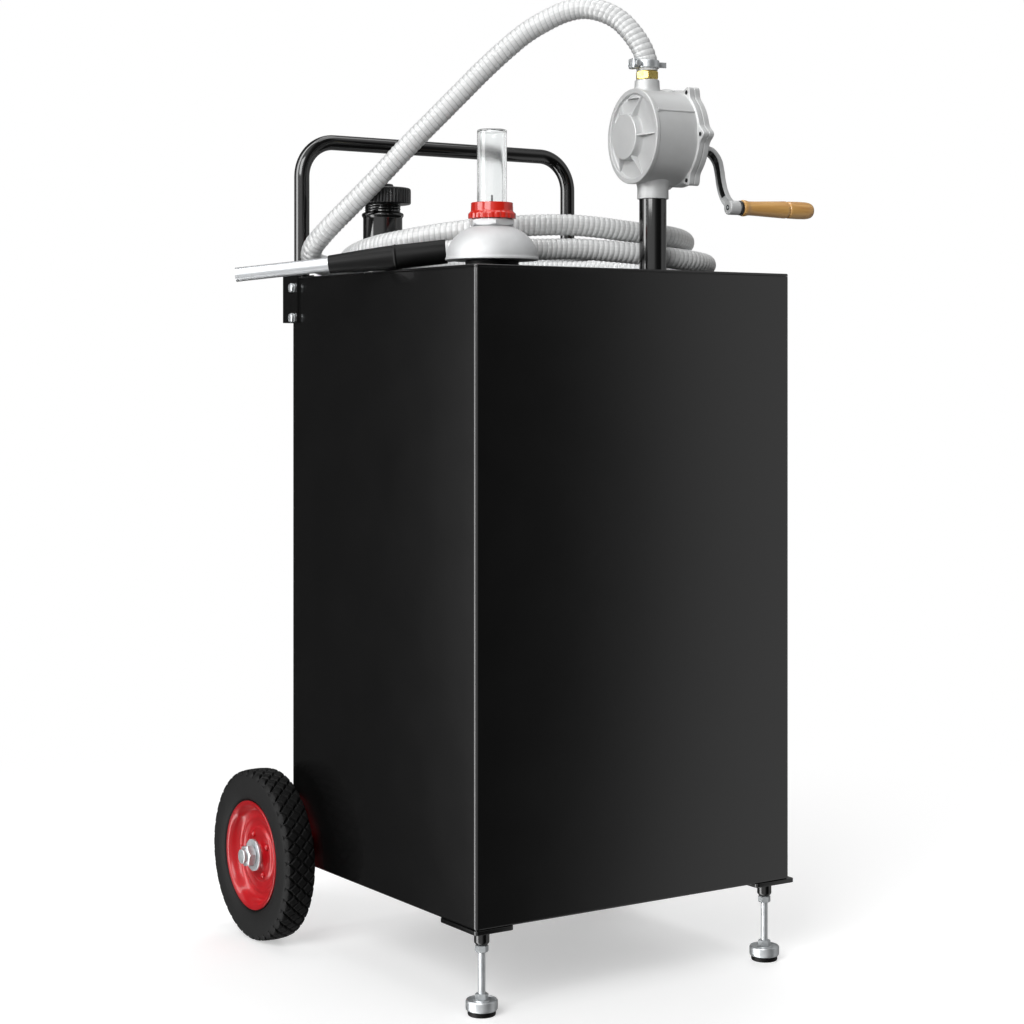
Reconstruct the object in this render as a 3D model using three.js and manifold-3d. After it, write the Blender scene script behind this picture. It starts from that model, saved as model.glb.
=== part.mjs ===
// Wheeled steel fuel caddy with a hand pump, a float gauge and a ribbed delivery hose.
// Millimetres, +Z up. x runs from the tank's left face, y from its front face, z from the floor.
// The whole group is then shifted so that its origin is the middle of its footprint on the floor.
import * as THREE from 'three';
import { mergeVertices } from 'three/addons/utils/BufferGeometryUtils.js';
import Module from 'manifold-3d';

const wasm = await Module();
wasm.setup();

// Running and resting gaps
const seam = 0.3;
const overrun = 2;

// Counts of sides, from small round pieces to large ones
const fewSides = 10;
const someSides = 14;
const manySides = 20;

// Tank
const tankWidth = 443;
const tankDepth = 423;
const tankHeight = 720;
const tankWall = 2;
const tankCorner = 6;
const groundClearance = 98;
const lidThickness = 3;
const lidEdge = 1.2;

// Levelling feet under the front corners
const footInset = 21;
const footPlateWidth = 50;
const footPlateDepth = 75;
const footPlateThickness = 5;
const footPlateCorner = 4;
const rightFootPlateOverhang = 8;
const sleeveDiameter = 17;
const sleeveLength = 16;
const sleeveChamfer = 2.5;
const studDiameter = 8;
const studEngagement = 8;
const studNutFlats = 13;
const jamNutHeight = 7.5;
const studHexHeight = 8;
const footDiscDiameter = 35.5;
const footDiscHeight = 10.7;
const footDiscChamfer = 4;
const footDiscLip = 2;
const padDiameter = 31;
const padHeight = 7.5;

// Wheels and axle
const wheelDiameter = 209;
const tyreWidth = 42;
const rimDiameter = 134;
const rimBarrelDiameter = 119.4;
const rimSheet = 2.8;
const hubDiameter = 30;
const hubOutboard = 12;
const hubInboardGap = 0.6;
const wheelOffset = 31;
const axleDiameter = 16;
const axleBehindTank = 17;
const washerDiameter = 39;
const washerThickness = 3;
const axleNutFlats = 24;
const axleNutHeight = 10;
const axleEnd = 5.4;
const axleEarThickness = 4;
const axleEarInset = 10.5;
const axleEarRadius = 17;
const axleEarHeight = 62;
const axleEarFoot = 12;

// Handle
const handleTubeDiameter = 19;
const handleInset = 19;
const handleRise = 172;
const handleBendRadius = 45;
const handleDrop = 58;
const handleBendSteps = 6;
const handleClipSheet = 2.5;
const handleClipDrop = 56;
const handleClipRise = 4;
const handleClipReach = 18;
const clipBoltDrops = [13, 50];
const clipBoltInset = 8;
const clipBoltDiameter = 6;
const clipBoltLength = 15;
const clipBoltFlats = 10;
const clipBoltHead = 4.2;

// Level gauge, x and y of its axis and heights above the lid
const gaugeX = 67.5;
const gaugeY = 72;
const gasketDiameter = 60;
const gasketHeight = 8;
const domeDiameter = 105;
const domeRim = 3;
const domeHeight = 38;
const domeTopDiameter = 44;
const gaugeNeckFlats = 46;
const gaugeNeckHeight = 8;
const collarFlangeDiameter = 54;
const collarFlangeHeight = 7;
const collarDiameter = 50;
const collarHeight = 11;
const gaugeTubeDiameter = 33.5;
const gaugeTubeWall = 2.2;
const gaugeTubeLength = 100;
const stemDiameter = 14;
const stemDepth = 340;
const rodDiameter = 4;
const rodClearance = 0.6;
const rodRise = 27;
const pointerDiameter = 5;
const pointerLength = 13;
const forkWidth = 18;
const forkHeight = 44;
const forkSlot = 6.6;
const forkSlotDepth = 38;
const floatPinDiameter = 5;
const floatPinDrop = 30;
const floatEyeDiameter = 15;
const floatEyeThickness = 6;
const floatArmDiameter = 6;
const floatArmLength = 215;
const floatRestAngle = THREE.MathUtils.degToRad(55);
const floatDiameter = 56;
const floatLength = 92;
const floatEnd = 14;
const floatArmInside = 40;

// Filler neck and cap
const fillerX = 76.5;
const fillerY = 331;
const fillerDiameter = 48;
const fillerBore = 41;
const fillerHeight = 77;
const fillerBead = 1.6;
const fillerBeadHeight = 4;
const fillerBelow = 12;
const fillerThreadDiameter = 44;
const fillerThreadHeight = 21;
const capDiameter = 69;
const capHeight = 20;
const capGap = 11;
const capRoof = 9;
const capKnobDiameter = 26;
const capKnobHeight = 5;

// Pump: its pipe stands at pumpX, pumpY, and its shaft is turned a little towards the front
const pumpX = 288;
const pumpY = 64;
const pumpAxisRise = 158.6;
const pumpYaw = THREE.MathUtils.degToRad(-5.5);
const pipeDiameter = 32;
const pipeBore = 26;
const pipeBelow = 18;
const pipeTop = 98;
const socketDiameter = 44;
const socketHeight = 20;
const dipTubeDiameter = 25.4;
const dipTubeBore = 21;
const dipTubeInPipe = 28;
const dipTubeFloorGap = 12;
const strainerDiameter = 36;
const strainerHeight = 30;
const pumpBodyRadius = 55.7;
const pumpBodyLeft = 28.7;
const pumpBodyRight = 28;
const pumpFlangeRadius = 60;
const pumpFlangeThickness = 7;
const lugRadius = 8.5;
const lugCircleRadius = 57.5;
const lugCount = 6;
const faceRecessRadius = 50;
const faceRecessDepth = 3.7;
const faceRibCount = 6;
const faceRibThickness = 4;
const faceBossRadius = 27;
const faceBossProud = 6;
const shaftOffset = 9;
const chamberRadius = 46;
const chamberLeft = 20;
const inletNeckRadius = 18.5;
const inletNeckDrop = 72.6;
const inletBore = 22;
const outletNeckRadius = 14.75;
const outletNeckRise = 66.9;
const outletShift = 8;
const outletBoreRadius = 9;
const outletThreadRadius = 10.8;
const outletThreadDepth = 16;
const coverThickness = 7.7;
const coverBossRadius = 15;
const coverBossLength = 7;
const coverStepRadius = 40;
const coverStep = 3;
const coverScrewFlats = 10;
const coverScrewHeight = 4;
const shaftDiameter = 12;
const shaftThreadDiameter = 10;
const rotorRadius = 36.5;
const vaneThickness = 5;
const vaneRoot = 14;
const crankHubRadius = 11;
const crankHubLength = 9.7;
const crankRadius = 88.6;
const crankForward = THREE.MathUtils.degToRad(24);
const crankArmWidth = 13;
const crankArmThickness = 7;
const crankOutShares = [0, 0.04, 0.18, 0.45, 0.74, 0.93, 1];
const crankDownShares = [0, 0.16, 0.34, 0.56, 0.76, 0.9, 1];
const crankBossRadius = 8.5;
const crankBossLength = 15;
const crankBossOut = 87;
const crankNutFlats = 17;
const crankNutHeight = 8;
const crankThreadEnd = 2;
const gripPinDiameter = 6;
const gripPinHeadDiameter = 9;
const gripPinHeadHeight = 2.5;
const gripPinInGrip = 97;
const ferruleDiameter = 17;
const ferruleLength = 4;
const gripLength = 103;
const gripDiameter = 19.5;
const gripWaistDiameter = 17;
const gripGroove = 1;
const gripRadiusShares = [0.86, 0.9, 0.96, 1, 0.97, 0.94, 0.97, 1, 0.93, 0.72, 0.4];
const gripLengthShares = [0, 0.08, 0.25, 0.45, 0.66, 0.75, 0.77, 0.86, 0.95, 0.985, 1];

// Hose barb and clamp on the pump's outlet
const barbFlats = 27;
const barbHexHeight = 10;
const barbTailDiameter = 15.8;
const barbTailLength = 17;
const barbBore = 12;
const clampWidth = 11;
const clampBand = 1.3;
const clampRise = 2.5;
const wormWidth = 13;
const wormHeight = 12;
const wormDepth = 8;
const wormScrewDiameter = 6.5;
const wormScrewLength = 19;

// Hose
const hoseDiameter = 25.5;
const hoseBore = 18;
const ribDepth = 1.1;
const ribPitch = 17;
const ribsPerBoreRing = 2;
const hoseSides = 8;
const curveStepsPerPoint = 12;

// Points on the hose's centre: from the left face, from the front face, above the lid
const riserPoints = [
  [280, 64.8, 236.1], [280, 64.8, 249], [280, 64.8, 262], [276.5, 70, 282], [266.5, 82, 299],
  [252, 97, 309], [237, 114, 313], [221, 133, 310], [204, 152, 301], [185, 172, 287],
  [164, 190, 267], [143, 208, 243], [121, 226, 215], [98, 244, 186], [76, 262, 158],
  [55, 281, 132], [35, 300, 108], [20, 323, 86], [12, 349, 66], [15, 374, 49],
  [30, 394, 36], [55, 406, 26], [88, 409, 19], [130, 409.5, 15.5], [160, 409.5, 15.5],
];
const loopPoints = [
  [160.3, 409.5, 15.5], [190, 409.5, 15.5], [235, 403, 16], [282, 391, 20], [326, 373, 28],
  [365, 344, 37], [395, 308, 42], [413, 264, 43], [419, 218, 42], [413, 174, 41],
  [394, 140, 43], [364, 119, 46], [328, 112, 48.5], [289, 114, 51], [248, 122, 55],
  [212, 133, 57], [176, 148, 56], [136, 167, 53], [98, 187, 48.5], [70, 212, 43.5],
  [48, 242, 38], [35, 276, 33], [31, 310, 27], [38, 345, 20], [62, 371, 15],
  [102, 381, 13.3], [150, 381.5, 13.3], [205, 377, 13.3], [256, 366, 13.3], [305, 348, 13.3],
  [350, 322, 13.3], [388, 285, 13.3], [414, 241, 13.3], [428, 194, 13.3], [426, 149, 13.8],
  [407, 114, 14.5], [375, 95, 16.5], [336, 91, 19.5], [296, 97, 23], [256, 108, 26],
  [218, 120, 28], [180, 132, 27], [140, 139, 26], [104, 138.5, 25],
];

// Nozzle: the hose end of its grip and the tip of its tube, on one straight axis
const gripEndPoint = [56, 150, 21.5];
const nozzleTipPoint = [-138, 299, -4.5];
const nozzleTubeDiameter = 16.6;
const nozzleTubeBore = 14.4;
const nozzleGripLength = 137;
const nozzleGripDiameter = 28;
const nozzleGripNose = 20;
const nozzleGripTaper = 78;
const nozzleGripBead = 0.8;
const nozzleTubeInGrip = 60;
const nozzleGripBore = 12;

// Heights that follow from the sizes above
const deckZ = groundClearance + tankHeight;
const axleY = tankDepth + axleBehindTank;
const axleZ = wheelDiameter / 2;
const footPlateZ = groundClearance - seam - footPlateThickness;
const sleeveZ = footPlateZ - sleeveLength;
const studTopZ = sleeveZ + studEngagement;
const jamNutZ = sleeveZ - seam - jamNutHeight;
const discZ = padHeight + seam;
const studHexZ = discZ + footDiscHeight + seam;

const caddy = new THREE.Group();
const hoseNames = ['hose_riser', 'hose_loops', 'nozzle_grip', 'nozzle_tube'];

// Finishes: colour, roughness, metalness
const finishes = {
  blackPaint: [0x1b1b1c, 0.45, 0.1],
  blackPlastic: [0x17171a, 0.5, 0],
  blackRubber: [0x1a1a1a, 0.8, 0],
  zincPlate: [0xb9bcc0, 0.35, 0.9],
  redPaint: [0xc3202a, 0.35, 0.1],
  castAluminium: [0xb4b5b7, 0.45, 0.8],
  redPlastic: [0xe2382e, 0.3, 0],
  clearPlastic: [0xe9eef0, 0.1, 0],
  hosePlastic: [0xe4e5e6, 0.4, 0],
  brass: [0xd9b45a, 0.3, 0.9],
  turnedWood: [0xcf9440, 0.45, 0],
  brightTube: [0xb8babd, 0.3, 0.9],
};

function addPiece(group, name, geometry, finishName) {
  const [color, roughness, metalness] = finishes[finishName];
  const mesh = new THREE.Mesh(geometry, new THREE.MeshStandardMaterial({ color, roughness, metalness }));
  mesh.name = name;
  group.add(mesh);
  return mesh;
}

function addGroup(parent, x, y, z) {
  const group = new THREE.Group();
  group.position.set(x, y, z);
  parent.add(group);
  return group;
}

// A closed mesh with shared corners, no empty triangles and its faces pointing out
function weld(geometry) {
  const bare = geometry.clone();
  bare.deleteAttribute('normal');
  bare.deleteAttribute('uv');
  const merged = mergeVertices(bare);
  const place = merged.attributes.position;
  const index = merged.index.array;
  const corner = [0, 1, 2].map(() => new THREE.Vector3());
  const kept = [];
  let volume = 0;
  for (let i = 0; i < index.length; i += 3) {
    const three = [index[i], index[i + 1], index[i + 2]];
    if (new Set(three).size === 3) {
      corner.forEach((c, k) => c.fromBufferAttribute(place, three[k]));
      volume += corner[0].dot(corner[1].clone().cross(corner[2]));
      kept.push(three);
    }
  }
  const turned = volume < 0 ? kept.map(([a, b, c]) => [a, c, b]) : kept;
  return { vertProperties: new Float32Array(place.array), triVerts: new Uint32Array(turned.flat()) };
}

function toSolid(geometry) {
  const { vertProperties, triVerts } = weld(geometry);
  return new wasm.Manifold(new wasm.Mesh({ numProp: 3, vertProperties, triVerts }));
}

function toGeometry(solid) {
  const mesh = solid.getMesh();
  const geometry = new THREE.BufferGeometry();
  geometry.setAttribute('position', new THREE.BufferAttribute(new Float32Array(mesh.vertProperties), 3));
  geometry.setIndex(new THREE.BufferAttribute(new Uint32Array(mesh.triVerts), 1));
  geometry.computeVertexNormals();
  return geometry;
}

function shaped(joined, cuts = []) {
  const whole = joined.map(toSolid).reduce((all, next) => all.add(next));
  return toGeometry(cuts.map(toSolid).reduce((all, next) => all.subtract(next), whole));
}

// Upright round bar between two heights
function bar(radius, low, high, sides = someSides) {
  const geometry = new THREE.CylinderGeometry(radius, radius, high - low, sides);
  geometry.rotateX(Math.PI / 2);
  geometry.translate(0, 0, (low + high) / 2);
  return geometry;
}

// Round bar along x between two places
function crossBar(radius, left, right, sides = someSides) {
  return bar(radius, left, right, sides).rotateY(Math.PI / 2);
}

// Turned piece about z from pairs of radius and height; a closed outline gives a ring
function turned(outline, sides = someSides, closed = true) {
  const points = outline.map(([radius, height]) => new THREE.Vector2(radius, height));
  if (closed) {
    points.push(points[0].clone());
  }
  const geometry = new THREE.LatheGeometry(points, sides);
  geometry.rotateX(Math.PI / 2);
  return toGeometry(toSolid(geometry));
}

function washer(innerRadius, outerRadius, low, high, sides = someSides) {
  return turned([[innerRadius, low], [outerRadius, low], [outerRadius, high], [innerRadius, high]], sides);
}

function extruded(shape, low, high, options = {}) {
  const geometry = new THREE.ExtrudeGeometry(shape, {
    depth: high - low, bevelEnabled: false, curveSegments: 4, ...options,
  });
  geometry.translate(0, 0, low);
  return geometry;
}

// Outline in y and z, drawn out along x between two places
function extrudedAlongX(shape, left, right) {
  const axes = [new THREE.Vector3(0, 1, 0), new THREE.Vector3(0, 0, 1), new THREE.Vector3(1, 0, 0)];
  return extruded(shape, left, right).applyMatrix4(new THREE.Matrix4().makeBasis(...axes));
}

function roundedRectangle(left, front, right, back, radius) {
  const shape = new THREE.Shape();
  shape.absarc(right - radius, front + radius, radius, -Math.PI / 2, 0);
  shape.absarc(right - radius, back - radius, radius, 0, Math.PI / 2);
  shape.absarc(left + radius, back - radius, radius, Math.PI / 2, Math.PI);
  shape.absarc(left + radius, front + radius, radius, Math.PI, 1.5 * Math.PI);
  return shape;
}

function polygon(points) {
  return new THREE.Shape(points.map(([x, y]) => new THREE.Vector2(x, y)));
}

function hexagon(flats) {
  const radius = flats / 2 / Math.cos(Math.PI / 6);
  return polygon([0, 1, 2, 3, 4, 5].map((k) => [
    radius * Math.cos(k * Math.PI / 3), radius * Math.sin(k * Math.PI / 3)]));
}

function hexBar(flats, low, high) {
  return extruded(hexagon(flats), low, high);
}

function block(left, right, front, back, low, high) {
  const geometry = new THREE.BoxGeometry(right - left, back - front, high - low);
  geometry.translate((left + right) / 2, (front + back) / 2, (low + high) / 2);
  return geometry;
}

// A path through given points, with one ring of an extrusion at each of them
class PointPath extends THREE.Curve {
  constructor(points) {
    super();
    this.points = points;
  }

  getPoint(t, target = new THREE.Vector3()) {
    const place = t * (this.points.length - 1);
    const first = Math.min(Math.floor(place), this.points.length - 2);
    return target.lerpVectors(this.points[first], this.points[first + 1], place - first);
  }

  getPointAt(u, target) {
    return this.getPoint(u, target);
  }

  getTangentAt(u, target = new THREE.Vector3()) {
    const last = this.points.length - 1;
    const here = Math.round(u * last);
    const next = this.points[Math.min(here + 1, last)];
    return target.subVectors(next, this.points[Math.max(here - 1, 0)]).normalize();
  }
}

function swept(section, points) {
  return new THREE.ExtrudeGeometry(section, {
    extrudePath: new PointPath(points), steps: points.length - 1, bevelEnabled: false, curveSegments: 5,
  });
}

function circleSection(radius) {
  const shape = new THREE.Shape();
  shape.absarc(0, 0, radius, 0, 2 * Math.PI);
  return shape;
}

// Tank: a folded shell open at the top, and a lid plate with its three openings
function addTank() {
  const shellTop = deckZ - lidThickness - seam;
  const outer = extruded(roundedRectangle(0, 0, tankWidth, tankDepth, tankCorner), groundClearance, shellTop);
  const inner = extruded(
    roundedRectangle(tankWall, tankWall, tankWidth - tankWall, tankDepth - tankWall, tankCorner - tankWall),
    groundClearance + tankWall, deckZ);
  const boltHoles = clipBoltDrops.map((drop) => crossBar(
    clipBoltDiameter / 2 + seam, -overrun, tankWidth + overrun, fewSides,
  ).translate(0, tankDepth - clipBoltInset, deckZ - drop));
  addPiece(caddy, 'tank_shell', shaped([outer], [inner, ...boltHoles]), 'blackPaint');

  const plate = extruded(
    roundedRectangle(lidEdge, lidEdge, tankWidth - lidEdge, tankDepth - lidEdge, tankCorner - lidEdge),
    deckZ - lidThickness + lidEdge, deckZ - lidEdge,
    { bevelEnabled: true, bevelSize: lidEdge, bevelThickness: lidEdge, bevelSegments: 1 });
  const socket = bar(socketDiameter / 2, deckZ - lidThickness - socketHeight, deckZ - lidEdge, manySides);
  const openings = [
    [pipeDiameter, pumpX, pumpY], [stemDiameter, gaugeX, gaugeY], [fillerDiameter, fillerX, fillerY],
  ].map(([diameter, x, y]) => bar(
    diameter / 2 + seam, deckZ - lidThickness - socketHeight - overrun, deckZ + overrun, manySides,
  ).translate(x, y, 0));
  addPiece(caddy, 'tank_top', shaped([plate, socket.translate(pumpX, pumpY, 0)], openings), 'blackPaint');
}

// Front feet: a corner plate with a welded sleeve, a locknut, and the foot that screws up and down
function addFoot(side, x, plateLeft, plateRight) {
  const plate = extruded(
    roundedRectangle(plateLeft, 0, plateRight, footPlateDepth, footPlateCorner),
    footPlateZ, footPlateZ + footPlateThickness);
  const sleeveRadius = sleeveDiameter / 2;
  const sleeve = turned([
    [0, sleeveZ], [sleeveRadius - sleeveChamfer, sleeveZ], [sleeveRadius, sleeveZ + sleeveChamfer],
    [sleeveRadius, footPlateZ + overrun], [0, footPlateZ + overrun],
  ], someSides, false).translate(x, footInset, 0);
  const threadHole = bar(studDiameter / 2 + seam, sleeveZ - overrun, groundClearance, fewSides);
  addPiece(caddy, `front_${side}_foot_bracket`,
    shaped([plate, sleeve], [threadHole.translate(x, footInset, 0)]), 'blackPaint');

  const foot = addGroup(caddy, x, footInset, 0);
  const nutHole = bar(studDiameter / 2 + seam, jamNutZ - overrun, sleeveZ, fewSides);
  addPiece(foot, `front_${side}_jam_nut`,
    shaped([hexBar(studNutFlats, jamNutZ, jamNutZ + jamNutHeight)], [nutHole]), 'zincPlate');
  addPiece(foot, `front_${side}_foot_stud`, shaped([
    bar(studDiameter / 2, discZ + seam, studTopZ, fewSides),
    hexBar(studNutFlats, studHexZ, studHexZ + studHexHeight),
  ]), 'zincPlate');
  const discRadius = footDiscDiameter / 2;
  const discTop = discZ + footDiscHeight;
  const discBore = studDiameter / 2 + seam;
  addPiece(foot, `front_${side}_foot_disc`, turned([
    [discBore, discZ], [discRadius - footDiscLip, discZ], [discRadius, discZ + footDiscLip],
    [discRadius, discTop - footDiscChamfer], [discRadius - footDiscChamfer, discTop], [discBore, discTop],
  ]), 'zincPlate');
  const padRadius = padDiameter / 2;
  addPiece(foot, `front_${side}_foot_pad`, bar(padRadius, 0, padHeight), 'blackRubber');
}

// Rear wheels, modelled with the outboard side along +z
function addWheel(side, x, turn) {
  const wheel = addGroup(caddy, x, axleY, axleZ);
  wheel.rotation.y = turn;
  const tyreRadius = wheelDiameter / 2;
  const halfWidth = tyreWidth / 2;
  const bead = rimBarrelDiameter / 2 + seam;
  const flange = rimDiameter / 2;
  const flangeIn = halfWidth - 2 * rimSheet + seam;
  const sidewallOut = flange + 4 * rimSheet;
  const shoulder = tyreRadius - 3 * rimSheet;
  const half = [
    [bead, flangeIn - seam], [flange + 2 * seam, flangeIn - seam], [sidewallOut, halfWidth],
    [shoulder, halfWidth - rimSheet], [tyreRadius, halfWidth / 2],
  ];
  const mirrored = half.map(([radius, z]) => [radius, -z]).reverse();
  addPiece(wheel, `${side}_tyre`, turned([...half, ...mirrored], manySides), 'blackRubber');

  const barrelOut = rimBarrelDiameter / 2;
  const barrelIn = barrelOut - rimSheet;
  const flangeOut = flangeIn + rimSheet;
  const hub = hubDiameter / 2;
  const hubBore = axleDiameter / 2 + seam;
  const hubIn = -(wheelOffset + axleEarInset - hubInboardGap);
  addPiece(wheel, `${side}_rim`, turned([
    [hubBore, hubIn], [hub, hubIn], [hub, 0], [barrelIn, 0], [barrelIn, -flangeOut], [flange, -flangeOut],
    [flange, -flangeIn], [barrelOut, -flangeIn], [barrelOut, flangeIn], [flange, flangeIn],
    [flange, flangeOut], [barrelIn, flangeOut], [barrelIn, rimSheet], [hub, 2 * rimSheet],
    [hub, hubOutboard], [hubBore, hubOutboard],
  ], manySides), 'redPaint');
  const washerIn = hubOutboard + seam;
  addPiece(wheel, `${side}_axle_washer`,
    washer(hubBore, washerDiameter / 2, washerIn, washerIn + washerThickness), 'zincPlate');
  const nutIn = washerIn + washerThickness + seam;
  addPiece(wheel, `${side}_axle_nut`, shaped(
    [hexBar(axleNutFlats, nutIn, nutIn + axleNutHeight)],
    [bar(hubBore, nutIn - overrun, nutIn + axleNutHeight + overrun)]), 'zincPlate');
}

// Axle, and the two ears on the back face that carry it
function addAxle() {
  const reach = wheelOffset + hubOutboard + washerThickness + 2 * seam + axleNutHeight + axleEnd;
  const axle = crossBar(axleDiameter / 2, -reach, tankWidth + reach);
  addPiece(caddy, 'axle', axle.translate(0, axleY, axleZ), 'zincPlate');
  const back = tankDepth + seam;
  const earBottom = axleZ - axleEarRadius;
  const ear = new THREE.Shape();
  ear.moveTo(back, groundClearance);
  ear.lineTo(axleY, earBottom);
  ear.absarc(axleY, axleZ, axleEarRadius, -Math.PI / 2, Math.PI / 4);
  ear.lineTo(back + axleEarFoot, earBottom + axleEarHeight);
  ear.lineTo(back, earBottom + axleEarHeight);
  const hole = crossBar(axleDiameter / 2 + seam, -overrun, tankWidth + overrun).translate(0, axleY, axleZ);
  const plates = { left: axleEarInset, right: tankWidth - axleEarInset - axleEarThickness };
  Object.entries(plates).forEach(([side, x]) => {
    const plate = extrudedAlongX(ear, x, x + axleEarThickness);
    addPiece(caddy, `${side}_axle_ear`, shaped([plate], [hole]), 'blackPaint');
  });
}

// Push handle: one bent tube behind the tank, held at each end by a clip bolted to the side
const handleY = tankDepth + seam + handleTubeDiameter / 2;

function addHandle() {
  const left = handleInset;
  const right = tankWidth - handleInset;
  const top = deckZ + handleRise;
  const path = [new THREE.Vector3(left, handleY, deckZ - handleDrop)];
  const bend = (x, start) => {
    for (let k = 0; k <= handleBendSteps; k += 1) {
      const angle = start - (Math.PI / 2) * (k / handleBendSteps);
      path.push(new THREE.Vector3(
        x + handleBendRadius * Math.cos(angle), handleY,
        top - handleBendRadius + handleBendRadius * Math.sin(angle)));
    }
  };
  bend(left + handleBendRadius, Math.PI);
  bend(right - handleBendRadius, Math.PI / 2);
  path.push(new THREE.Vector3(right, handleY, deckZ - handleDrop));
  addPiece(caddy, 'handle_tube', shaped([swept(circleSection(handleTubeDiameter / 2), path)]), 'blackPaint');
}

function addHandleClip(side, mirror) {
  const place = (x) => (mirror ? tankWidth - x : x);
  const outside = -seam - handleClipSheet;
  const tubeIn = handleInset + handleTubeDiameter / 2 + seam;
  const behind = handleY + handleTubeDiameter / 2 + seam;
  const outline = polygon([
    [outside, tankDepth - handleClipReach], [-seam, tankDepth - handleClipReach], [-seam, behind],
    [tubeIn, behind], [tubeIn, tankDepth + seam], [tubeIn + handleClipSheet, tankDepth + seam],
    [tubeIn + handleClipSheet, behind + handleClipSheet], [outside, behind + handleClipSheet],
  ].map(([x, y]) => [place(x), y]));
  const clip = extruded(outline, deckZ - handleClipDrop, deckZ + handleClipRise);
  const boltY = tankDepth - clipBoltInset;
  const holes = clipBoltDrops.map((drop) => crossBar(
    clipBoltDiameter / 2 + seam, -2 * handleClipSheet, 2 * handleClipSheet, fewSides,
  ).translate(place(outside), boltY, deckZ - drop));
  addPiece(caddy, `${side}_handle_clip`, shaped([clip], holes), 'blackPaint');

  const inward = mirror ? -1 : 1;
  clipBoltDrops.forEach((drop, k) => {
    const head = hexBar(clipBoltFlats, -clipBoltHead, 0);
    const shank = bar(clipBoltDiameter / 2, -overrun, clipBoltLength, fewSides);
    const bolt = shaped([head, shank]).rotateY(inward * Math.PI / 2);
    bolt.translate(place(outside - seam), boltY, deckZ - drop);
    addPiece(caddy, `${side}_handle_bolt_${k + 1}`, bolt, 'zincPlate');
  });
}

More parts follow.
